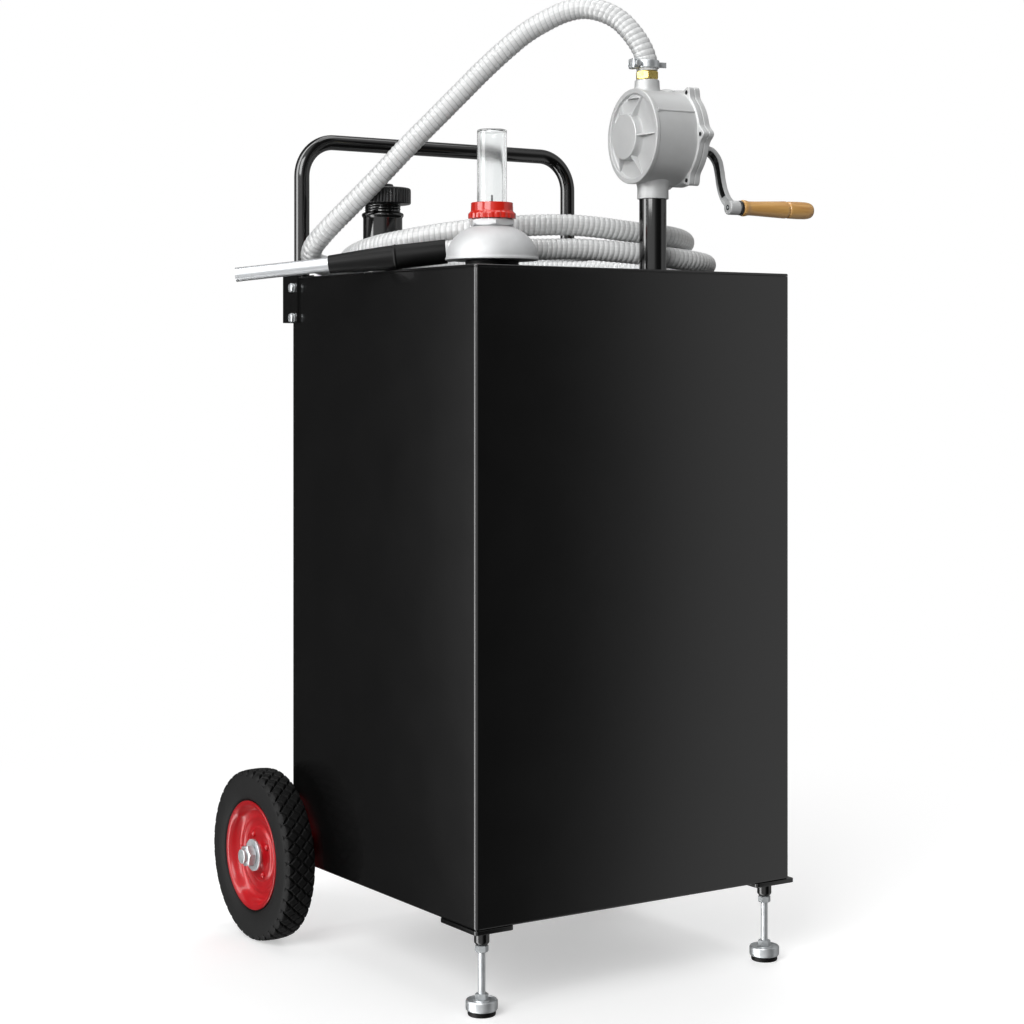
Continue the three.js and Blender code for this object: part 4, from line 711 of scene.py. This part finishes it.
strap_line = eased([(-.00155, .405), (-.00155, .44385), (.03005, .44385), (.03005, tank_depth)],
                   [0, .0035, .0035, 0], steps=7)
strap_sheet, strap_low, strap_high = .0025, deck - .056, deck + .004
bolt_head = hexagonal(.01, 0, .0042)
bolt_shank = turned([
    (0, .004), (.0055, .004), (.0055, .0047), (.003, .0049), (.003, .019), (0, .019)],
    [0, .0003, .0003, 0, .0005, 0])
bolt_out, bolt_y, bolt_drops = .0073, .415, (.013, .05)
for side, start, inward in (("left", 0, 1), ("right", tank_width, -1)):
    line = strap_line * (inward, 1) + (start, 0) + lid_origin[:2]
    add_piece(f"{side}_handle_strap", [folded_sheet(line, strap_sheet, strap_low, strap_high)],
              satin_black, f"{side}_handle_clip")
    for number, drop in enumerate(bolt_drops, start=1):
        bolt_place = lid_origin + (start - inward * bolt_out, bolt_y, -drop)
        add_piece(f"{side}_strap_bolt_{number}", [bolt_head, bolt_shank],
                  zinc, f"{side}_handle_bolt_{number}",
                  seat=(bolt_place, (inward, 0, 0), (0, .3, 1)))


# Level gauge
# A cast dome, buffed to a satin shine, stands on a rubber gasket. Its neck is a hexagon, and a moulded
# red collar on it holds a clear tube, in which a black pointer rises with the float in the tank.

# Aluminium that is buffed after casting scatters light softly, with cloudy patches of 12 mm.
buffed_casting = uneven_finish(
    "buffed_aluminium_casting", "cast_aluminium", {"Metallic": 0.2}, ("#BEBFC0", "#CECFD0"),
    roughness=(0.5, 0.6), blotch=0.012, relief=(0.0012, 0.00003))

gauge_foot = lid_origin + (.0675, .072, 0)
rod_bore = .0073
gasket = turned([(rod_bore, .0003), (.03, .0003), (.03, .008), (rod_bore, .008)], .0008, closed=True)
add_piece("gauge_seat_rubber", [gasket + gauge_foot], rubber, "gauge_gasket")
dome_angle = np.linspace(0, radians(65), 28)
dome_crown = np.stack([
    .0516 * np.cos(dome_angle), .0119 + .0344 * np.sin(dome_angle) / sin(dome_angle[-1])], axis=1)
dome_shape = np.concatenate([
    eased([(rod_bore, .0083), (.0525, .0083), (.0525, .0104), (.0516, .0119)], [0, .0006, .0008, 0]),
    dome_crown[1:], [(rod_bore, .0463), (rod_bore, .0083)]])
add_piece("gauge_bell", [turned(dome_shape, sides=128) + gauge_foot], buffed_casting, "gauge_dome")
neck_turn = radians(-23.8)
add_piece("gauge_hexagon", [hexagonal(.046, .0466, .0546, bore=rod_bore, chamfer=.008)],
          buffed_casting, "gauge_neck",
          seat=(gauge_foot, upright, (cos(neck_turn), sin(neck_turn), 0)))

# The collar is injection-moulded in glossy red plastic, with small ribs round its foot for the fingers.
red_plastic = uneven_finish(
    "moulded_red_plastic", "red_plastic", {"IOR": 1.5, "Specular IOR Level": 0.45},
    ("#CB2217", "#DB3023"), roughness=(0.06, 0.11), blotch=0.02, relief=(0.002, 0.00001))
collar_ribs, collar_rib_depth, collar_bore = 20, .0008, .01705
collar_shape = eased([
    (collar_bore, .0549), (.0268, .0549), (.0268, .0606), (.0238, .0632), (.0235, .0729),
    (collar_bore, .0729)], [0, .0006, .0008, .0012, .0008, .0005], closed=True)
collar_turn = full_turn(16 * collar_ribs)
rib_wave = (0.5 - 0.5 * np.cos(collar_ribs * collar_turn)) ** 2
on_foot = np.clip((collar_shape[:, :1] - .024) / .0026, 0, 1)
collar_radius = collar_shape[:, :1] - collar_rib_depth * on_foot * rib_wave
add_piece("gauge_red_collar", [about_axis(collar_radius, collar_shape[:, 1:], collar_turn) + gauge_foot],
          red_plastic, "gauge_collar")

# The tube is drawn from clear acrylic. It's polished, with a hardly visible waviness of 8 mm, and with
# patches of 12 mm that handling has scuffed, which blur what lies behind.
clear_acrylic = uneven_finish(
    "clear_acrylic", "clear_plastic", {"Transmission Weight": 1.0, "IOR": 1.49}, ("#F0F3F3", "#FFFFFF"),
    roughness=(0.02, 0.16), blotch=0.012, relief=(0.008, 0.0001), stretch=(1, 1, 4))
tube_outer, tube_inner = .01675, .01455
# Rows close to each corner keep the long walls' shading straight, so that nothing bends behind them
tube = turned([
    (0, .1549), (tube_outer, .1549), (tube_outer, .152), (tube_outer, .0556), (tube_outer, .0549),
    (tube_inner, .0549), (tube_inner, .0556), (tube_inner, .1502), (tube_inner, .1527), (0, .1527)],
    [0, .0025, 0, 0, .0003, .0003, 0, 0, .002, 0], sides=96)
add_piece("gauge_clear_tube", [tube + gauge_foot], clear_acrylic, "gauge_tube")

# Black plastic, moulded, is slightly glossy with a faint skin: the pointer, the float and the filler cap.
black_plastic = uneven_finish(
    "moulded_black_plastic", "black_plastic", {"IOR": 1.5}, ("#0C0C0D", "#17181A"),
    roughness=(0.22, 0.36), blotch=0.02, relief=(0.0009, 0.00003))
pointer = turned([
    (0, -.3397), (.002, -.3397), (.002, .06), (.0012, .0615), (.0011, .0816), (0, .0816)],
    [0, .0003, .0005, .0005, .0008, 0], sides=24)
add_piece("gauge_pointer", [pointer + gauge_foot], black_plastic, "indicator_rod", body="indicator")
dress("gauge_stem", zinc)
dress("float_arm", zinc)
dress("float", black_plastic)


# Filler
# A steel neck welded through the lid, with a rolled bead and a thread above it, in gloss black. Its cap
# is moulded black plastic, with a ring of finger grips and a raised disc on top.
filler_foot = lid_origin + (.0765, .331, 0)
neck = turned([
    (.0205, -.012), (.024, -.012), (.024, .0715), (.0256, .0735), (.0256, .076), (.0246, .0772),
    (.0214, .0785), (.0214, .098), (.0205, .098)],
    [0, .0004, .001, .001, .0008, .0006, .0008, .0003, 0], sides=96, closed=True)
screw_rows = threaded(.022, .08, .096, pitch=.003, depth=.0008, sides=72)
# The thread is a shell, closed on a core that lies inside the neck's wall
screw_core = screw_rows[[0, -1]] * (.955, .955, 1)
screw = np.concatenate([screw_core[:1], screw_rows, screw_core[1:], screw_core[:1]])
add_piece("filler_pipe", [neck + filler_foot, screw + filler_foot], gloss_black, "filler_neck")
grip_count, grip_depth = 48, .0007
cap_shape = eased([
    (0, .099), (.0223, .099), (.0223, .088), (.0333, .088), (.0345, .0892), (.0345, .106),
    (.0325, .108), (.014, .108), (.0125, .1125), (.011, .113), (0, .113)],
    [0, .0005, .0005, .001, .001, .002, .002, .001, .0012, .001, 0])
cap_turn = full_turn(12 * grip_count)
grip_wave = (0.5 + 0.5 * np.cos(grip_count * cap_turn)) ** 3
on_side = np.clip((cap_shape[:, :1] - .0338) / .0006, 0, 1) * (cap_shape[:, 1:] > .089)
cap_radius = cap_shape[:, :1] - grip_depth * on_side * grip_wave
add_piece("filler_screw_cap", [about_axis(cap_radius, cap_shape[:, 1:], cap_turn) + filler_foot],
          black_plastic, "filler_cap", body="cap")


# Stand pipe
# A steel pipe in gloss black screws into the lid's socket and carries the pump. A plastic dip tube with
# a strainer hangs in it down to the tank's floor.
pipe = turned([(.013, -.018), (.016, -.018), (.016, .098), (.013, .098)], .0005, sides=96, closed=True)
add_piece("pump_pipe", [pipe + pump_foot], gloss_black, "stand_pipe")
dress("dip_tube", black_plastic)


# Pump housing
# A drum cast in one piece with its necks, ribs, rim and six lugs, then shot-blasted and sprayed silver
# grey. Its closed face has a shallow recess with a boss for the shaft's blind end.

# The sprayed coat is flat and pale, with the sand mould's grain of 1.2 mm still in it.
silver_casting = uneven_finish(
    "blasted_silver_casting", "cast_aluminium", {"Metallic": 0.2, "Specular IOR Level": 0.4},
    ("#BBBCBC", "#C8C9C9"), roughness=(0.45, 0.58), blotch=0.018, relief=(0.0012, 0.00008))
pump_yaw = radians(-5.5)
pump_right = np.array([cos(pump_yaw), sin(pump_yaw), 0])
pump_back = np.array([-sin(pump_yaw), cos(pump_yaw), 0])
pump_middle = pump_foot + (0, 0, .1586)
shaft_offset = .009
shaft_shift = np.array([0, -shaft_offset, 0])
drum_seat = (pump_middle, pump_right, upright)
lug_angles = full_turn(6) + pi / 6


def lugged(profile, sides=432):
    """A profile of radius, height and reach turned about z with six lugs: the radius grows by its reach
    times exp(-(angle from the nearest lug / 6.5 degrees) squared)."""
    radius, height, reach = np.array(profile, float).T[..., None]
    u = full_turn(sides)
    swell = np.exp(-((u % (pi / 3) - pi / 6) / radians(6.5)) ** 2)
    return about_axis(radius + reach * swell, height, u)


drum = lugged(eased([
    (0, -.025, 0), (.0488, -.025, 0), (.05, -.0287, 0), (.0557, -.0287, 0), (.0557, -.0243, 0),
    (.0549, -.0234, 0), (.0547, .024, 0), (.055, .0272, .0006), (.0564, .0279, .009),
    (.0572, .0286, .0088), (.0572, .0345, .0088), (.0565, .035, .0088), (0, .035, 0)],
    [0, .0012, .0006, .001, .0006, .0006, .002, .001, .0006, .0006, .0006, .0005, 0]))
face_boss = turned([
    (0, -.0347), (.0262, -.0347), (.027, -.0337), (.0275, -.0275), (.029, -.0245), (0, -.0245)],
    [0, .0008, .001, .002, 0, 0], sides=96) + shaft_shift
drum_parts = [drum, face_boss]

# Six ribs run out from the boss to the recess's edge, each lower and thinner at its outer end
recess_floor, recess_radius, rib_start = -.0245, .0503, .0255
across_share, top_share = np.array([(-1, 0), (-1, .85), (-.7, 1), (.7, 1), (1, .85), (1, 0)]).T
for angle in lug_angles:
    heading = np.array([cos(angle), sin(angle), 0])
    across = np.array([-heading[1], heading[0], 0])
    inward = heading @ shaft_shift
    rib_end = -inward + np.sqrt(recess_radius ** 2 - shaft_offset ** 2 + inward ** 2)
    out = np.linspace(rib_start, rib_end, 6)[:, None]
    top = np.interp(out, [rib_start, rib_end], [-.0335, -.0262])
    half = np.interp(out, [rib_start, rib_end], [.0011, .0007])
    level = recess_floor + (top - recess_floor) * top_share
    drum_parts.append(capped(shaft_shift + out[..., None] * heading
                             + (half * across_share)[..., None] * across + level[..., None] * upright))

# A cast seam with a thick end runs along the drum, and a low hump stands on its side
seam_angle = radians(61)
seam_line = np.linspace(-.0236, .0265, 15)
seam_path = np.stack([.0547 * cos(seam_angle) + 0 * seam_line, .0547 * sin(seam_angle) + 0 * seam_line,
                      seam_line], axis=1)
seam_thickness = np.interp(seam_line, [-.0236, -.02, -.018, .0265], [.0028, .0024, .0015, .0015])
drum_parts.append(capped(carried(seam_path, seam_thickness, 16)))
hump_turn = full_turn(32)
hump_rise = np.sin(np.linspace(0, pi / 2, 9))[:, None]
hump_radius = np.sqrt(1 - hump_rise ** 2)
drum_parts.append(np.stack([
    .0525 + .0052 * hump_rise + 0 * hump_turn, .012 * hump_radius * np.cos(hump_turn) + .001,
    .0105 * hump_radius * np.sin(hump_turn) + .0175], axis=-1))
inlet = turned([
    (0, -.06), (.0163, -.06), (.0163, -.0726), (.0185, -.0726), (.0183, -.059), (.02, -.053),
    (.025, -.045), (0, -.045)], [0, 0, .0004, .001, .002, .004, 0, 0], sides=96)
outlet_shift = .008
outlet = turned([
    (0, .044), (.023, .044), (.0175, .0505), (.015, .056), (.0145, .066), (.0137, .0669), (0, .0669)],
    [0, 0, .003, .003, .0006, .0006, 0], sides=96) + (-outlet_shift, 0, 0)
add_piece("pump_drum",
          [placed(patch, *drum_seat) for patch in drum_parts]
          + [placed(patch, pump_middle, upright, pump_right) for patch in (inlet, outlet)],
          silver_casting, "pump_housing", sharp=40)


# Pump cover
# The casting that closes the drum, with the same six lugs, a raised middle and a boss for the shaft.
# Six blackened steel screws go through both rings of lugs, and their ends show behind the drum's lugs as
# dark dots:
# the screws are real, and their dark ends are painted shade for the lugs' holes.
cover_plate = lugged(eased([
    (0, .0353, 0), (.0565, .0353, .0088), (.0572, .0359, .0088), (.0572, .0422, .0088),
    (.0564, .043, .0088), (.0415, .043, 0), (.0395, .046, 0), (0, .046, 0)],
    [0, .0004, .0006, .0008, .001, .001, .0015, 0]))
shaft_bore = .0063
cover_boss = turned([
    (shaft_bore, .044), (.0175, .044), (.0152, .0475), (.0148, .05), (shaft_bore, .05)],
    [0, 0, .0015, .0008, .0004], closed=True) + shaft_shift
add_piece("pump_lid", [cover_plate, cover_boss], silver_casting, "pump_cover", seat=drum_seat, sharp=40)

# Steel, chemically blackened and oiled, has a dull sheen with patches of 4 mm.
blackened_steel = uneven_finish(
    "blackened_steel", "black_paint", {"Metallic": 0.9}, ("#151617", "#2A2B2D"),
    roughness=(0.35, 0.5), blotch=0.004, relief=(0.0006, 0.00002))
screw_shank = turned([(0, .0272), (.0027, .0272), (.0027, .042), (0, .042)], [0, .0005, 0, 0], sides=24)
lug_circle = .0592
screws = [screw_shank + (lug_circle * cos(angle), lug_circle * sin(angle), 0) for angle in lug_angles]
# The screw ends, dark behind the drum's lugs, are painted shade where the lugs' holes lie in shadow
add_piece("pump_lid_screws_painted_hole_shade", screws, blackened_steel, seat=drum_seat)


# Crank
# A swan-necked arm cast in aluminium, with a thin black insert in the channel along its inner side:
# painted shade where that side lies in shadow. Its hub is clamped on the shaft by a plated nut, and the
# shaft turns the rotor and its two vanes in the drum.
shaft_middle = pump_middle + shaft_offset * pump_back
lean = radians(24)
arm_heading = -sin(lean) * pump_back - cos(lean) * np.array(upright)
crank_seat = (shaft_middle, pump_right, arm_heading)
crank_reach = .0886
pin_place = (crank_reach, 0, 0)

# The arm's middle line: distance from the drum, and distance down from the shaft
arm_out = np.array([.0552, .0556, .0615, .073, .0835, .0893, .089, .0872, .0868, .0885, .0925, .0945])
arm_down = np.array([0, .0045, .0085, .011, .0145, .026, .0405, .0555, .068, .078, .085, .0886])
arm_points = np.stack([arm_down, 0 * arm_down, arm_out], axis=1)
arm_points = np.concatenate([
    [2 * arm_points[0] - arm_points[1]], arm_points, [2 * arm_points[-1] - arm_points[-2]]])
arm_line, _ = even_steps(centripetal(arm_points, 12), 60)
arm_ahead = np.gradient(arm_line, axis=0)
arm_ahead /= np.linalg.norm(arm_ahead, axis=1)[:, None]
arm_across = np.array([0, 1, 0])
arm_outer = np.cross(arm_across, arm_ahead)
arm_outer *= np.sign(arm_outer[len(arm_outer) // 2, 2])


def along_arm(section):
    """A section of outward and crosswise distances carried along the arm's middle line."""
    section = np.array(section, float)
    return (arm_line[:, None] + section[None, :, :1] * arm_outer[:, None]
            + section[None, :, 1:] * arm_across)


arm_section = eased([
    (.0035, -.006), (.0035, .006), (-.0035, .0065), (-.0035, .0055), (-.0008, .005), (-.0008, -.005),
    (-.0035, -.0055), (-.0035, -.0065)], [.002, .002, .0005, .0004, .0005, .0005, .0004, .0005],
    closed=True)[:-1]
# The section of the thin black insert in the arm's channel: painted shade
painted_shade_section = [(-.0007, -.005), (-.0007, .005), (-.0016, .005), (-.0016, -.005)]
arm_hub = turned([(shaft_bore, .0503), (.011, .0503), (.011, .06), (shaft_bore, .06)], .0008, closed=True)
pin_bore = .0033
arm_eye = turned([
    (pin_bore, .087), (.0076, .087), (.0085, .088), (.0085, .101), (.008, .102), (pin_bore, .102)],
    [.0003, .0008, .001, .001, .0006, .0003], closed=True) + pin_place
add_piece("crank_lever", [capped(along_arm(arm_section)), arm_hub, arm_eye],
          silver_casting, "crank_arm", body="crank", seat=crank_seat)
# The black insert, painted shade in the channel, stops short of the hub and the eye
add_piece("crank_lever_painted_shade", [capped(along_arm(painted_shade_section)[6:-9])],
          satin_black, body="crank", seat=crank_seat)
add_piece("crank_locknut", [hexagonal(.017, .0603, .0683, bore=.0053)],
          zinc, "crank_nut", body="crank", seat=crank_seat)
pin = turned([
    (0, .0866), (.0012, .0866), (.0017, .087), (.0017, .09), (.003, .0905), (.003, .203), (0, .203)],
    [0, .0006, .0004, 0, 0, .0005, 0], sides=32)
add_piece("grip_spindle", [pin + pin_place], zinc, "grip_pin", body="crank", seat=crank_seat)
pin_ring = turned(
    [(.0017, .0868), (.003, .0868), (.0032, .0895), (.0017, .0895)], .0002, sides=32, closed=True)
add_piece("grip_spindle_ring", [pin_ring + pin_place], blackened_steel, body="crank", seat=crank_seat)
for node in ("pump_shaft", "pump_rotor"):
    dress(node, zinc)
for node in ("lower_vane", "upper_vane"):
    dress(node, black_plastic)


# Crank grip
# A hardwood handle, turned with a bead at its foot and a groove near its end, and varnished. It spins on
# a steel spindle behind a black ferrule.

# Under a satin varnish the wood is honey-coloured, with grain 3 mm wide that runs along the handle.
varnished_wood = uneven_finish(
    "varnished_turned_wood", "turned_wood", {"Coat Weight": 0.5, "Coat Roughness": 0.15},
    ("#AE6E34", "#E6BB6C"),
    roughness=(0.35, 0.5), blotch=0.003, relief=(0.0008, 0.00006), stretch=(1, 1, 16),
    turn=Vector(pump_right).to_track_quat("Z", "Y").to_euler())
ferrule = turned([
    (pin_bore, .1023), (.008, .1023), (.0088, .1032), (.0088, .1055), (.0082, .1063), (pin_bore, .1063)],
    [.0003, .0006, .0008, .0008, .0006, .0003], closed=True)
add_piece("grip_black_ring", [ferrule + pin_place],
          black_plastic, "grip_ferrule", body="crank_grip", seat=crank_seat)
grip_start = .1066
grip_outline = np.array([
    (pin_bore, 0), (.009, 0), (.0099, .0015), (.0096, .005), (.0086, .008), (.0084, .011),
    (.0087, .022), (.0095, .04), (.0102, .058), (.0104, .06), (.0103, .0632), (.0086, .065),
    (.0102, .0668), (.0105, .08), (.0103, .093), (.0088, .1), (.004, .1028), (0, .103)]) + (0, grip_start)
grip_shape = eased(grip_outline, [
    0, .0005, .0012, .0018, .0015, .0015, .006, .008, .008, .006, .0008, .0008, .0008, .004, .003, .003,
    .002, 0])
bore_end = grip_start + .097
bore_shape = [(0, bore_end), (pin_bore, bore_end), (pin_bore, grip_start)]
add_piece("grip_handle_wood",
          [turned(np.concatenate([bore_shape, grip_shape[1:]]), sides=72) + pin_place],
          varnished_wood, "wooden_grip", body="crank_grip", seat=crank_seat)


# Outlet
# A brass hose tail screws into the pump's upper neck. The hose is pushed over it, and held by a clamp of
# slotted steel band with a worm screw.
outlet_seat = (pump_middle - outlet_shift * pump_right, upright, pump_right)

# Brass turned on a lathe is yellow and bright, with faint cutter marks under 1 mm apart.
brass = uneven_finish(
    "machined_brass", "brass", {"Metallic": 0.9}, ("#C7A94C", "#EAD78A"),
    roughness=(0.22, 0.34), blotch=0.004, relief=(0.0008, 0.00002))
tail = turned([
    (.006, .0512), (.0105, .0512), (.0105, .077), (.0072, .0774), (.0079, .08), (.007, .083),
    (.0079, .086), (.007, .089), (.0079, .0915), (.0066, .0942), (.006, .0942)], .0006, closed=True)
tail_hexagon = hexagonal(.0245, .0672, .0772, bore=.0105, chamfer=.05)
add_piece("brass_hose_tail",
          [placed(tail, *outlet_seat), placed(tail_hexagon, outlet_seat[0], upright, (1, -.62, 0))],
          brass, "hose_barb")

band_low, band_high, band_edge, band_inside, band_sheet = .0806, .0896, .0012, .01335, .0008
band_outside, band_crown = band_inside + band_sheet, band_inside + band_sheet * 1.4
band = turned([
    (band_inside, band_low), (band_outside, band_low), (band_crown, band_low + band_edge),
    (band_crown, band_high - band_edge), (band_outside, band_high), (band_inside, band_high)],
    .0003, sides=96, closed=True)
worm_middle = np.array([-.0185, 0, (band_low + band_high) / 2])
worm_house = stacked((-.0225, -.0065, -.014, .0065), .0022, eased([
    (.0015, -.006), (0, -.005), (0, .005), (.0015, .006)], [0, .001, .001, 0])) + worm_middle * (0, 0, 1)
worm_seat = (worm_middle, (0, 1, 0), (1, 0, 0))
worm_screw = placed(threaded(.0031, -.0085, .0085, pitch=.0022, depth=.0009, sides=32), *worm_seat)
worm_head = placed(hexagonal(.007, -.0125, -.008), *worm_seat)
tail_run = np.linspace(0, 1, 14)
tail_line = np.stack([.0142 + .0088 * tail_run, -.0035 - .002 * tail_run], axis=1)
tail_strip = folded_sheet(tail_line, .0009, band_low + band_edge, band_high - band_edge, edge=.0002)
add_piece("hose_clamp_band", [band, worm_house, capped(worm_screw), worm_head, tail_strip],
          zinc, "hose_clamp", seat=outlet_seat)
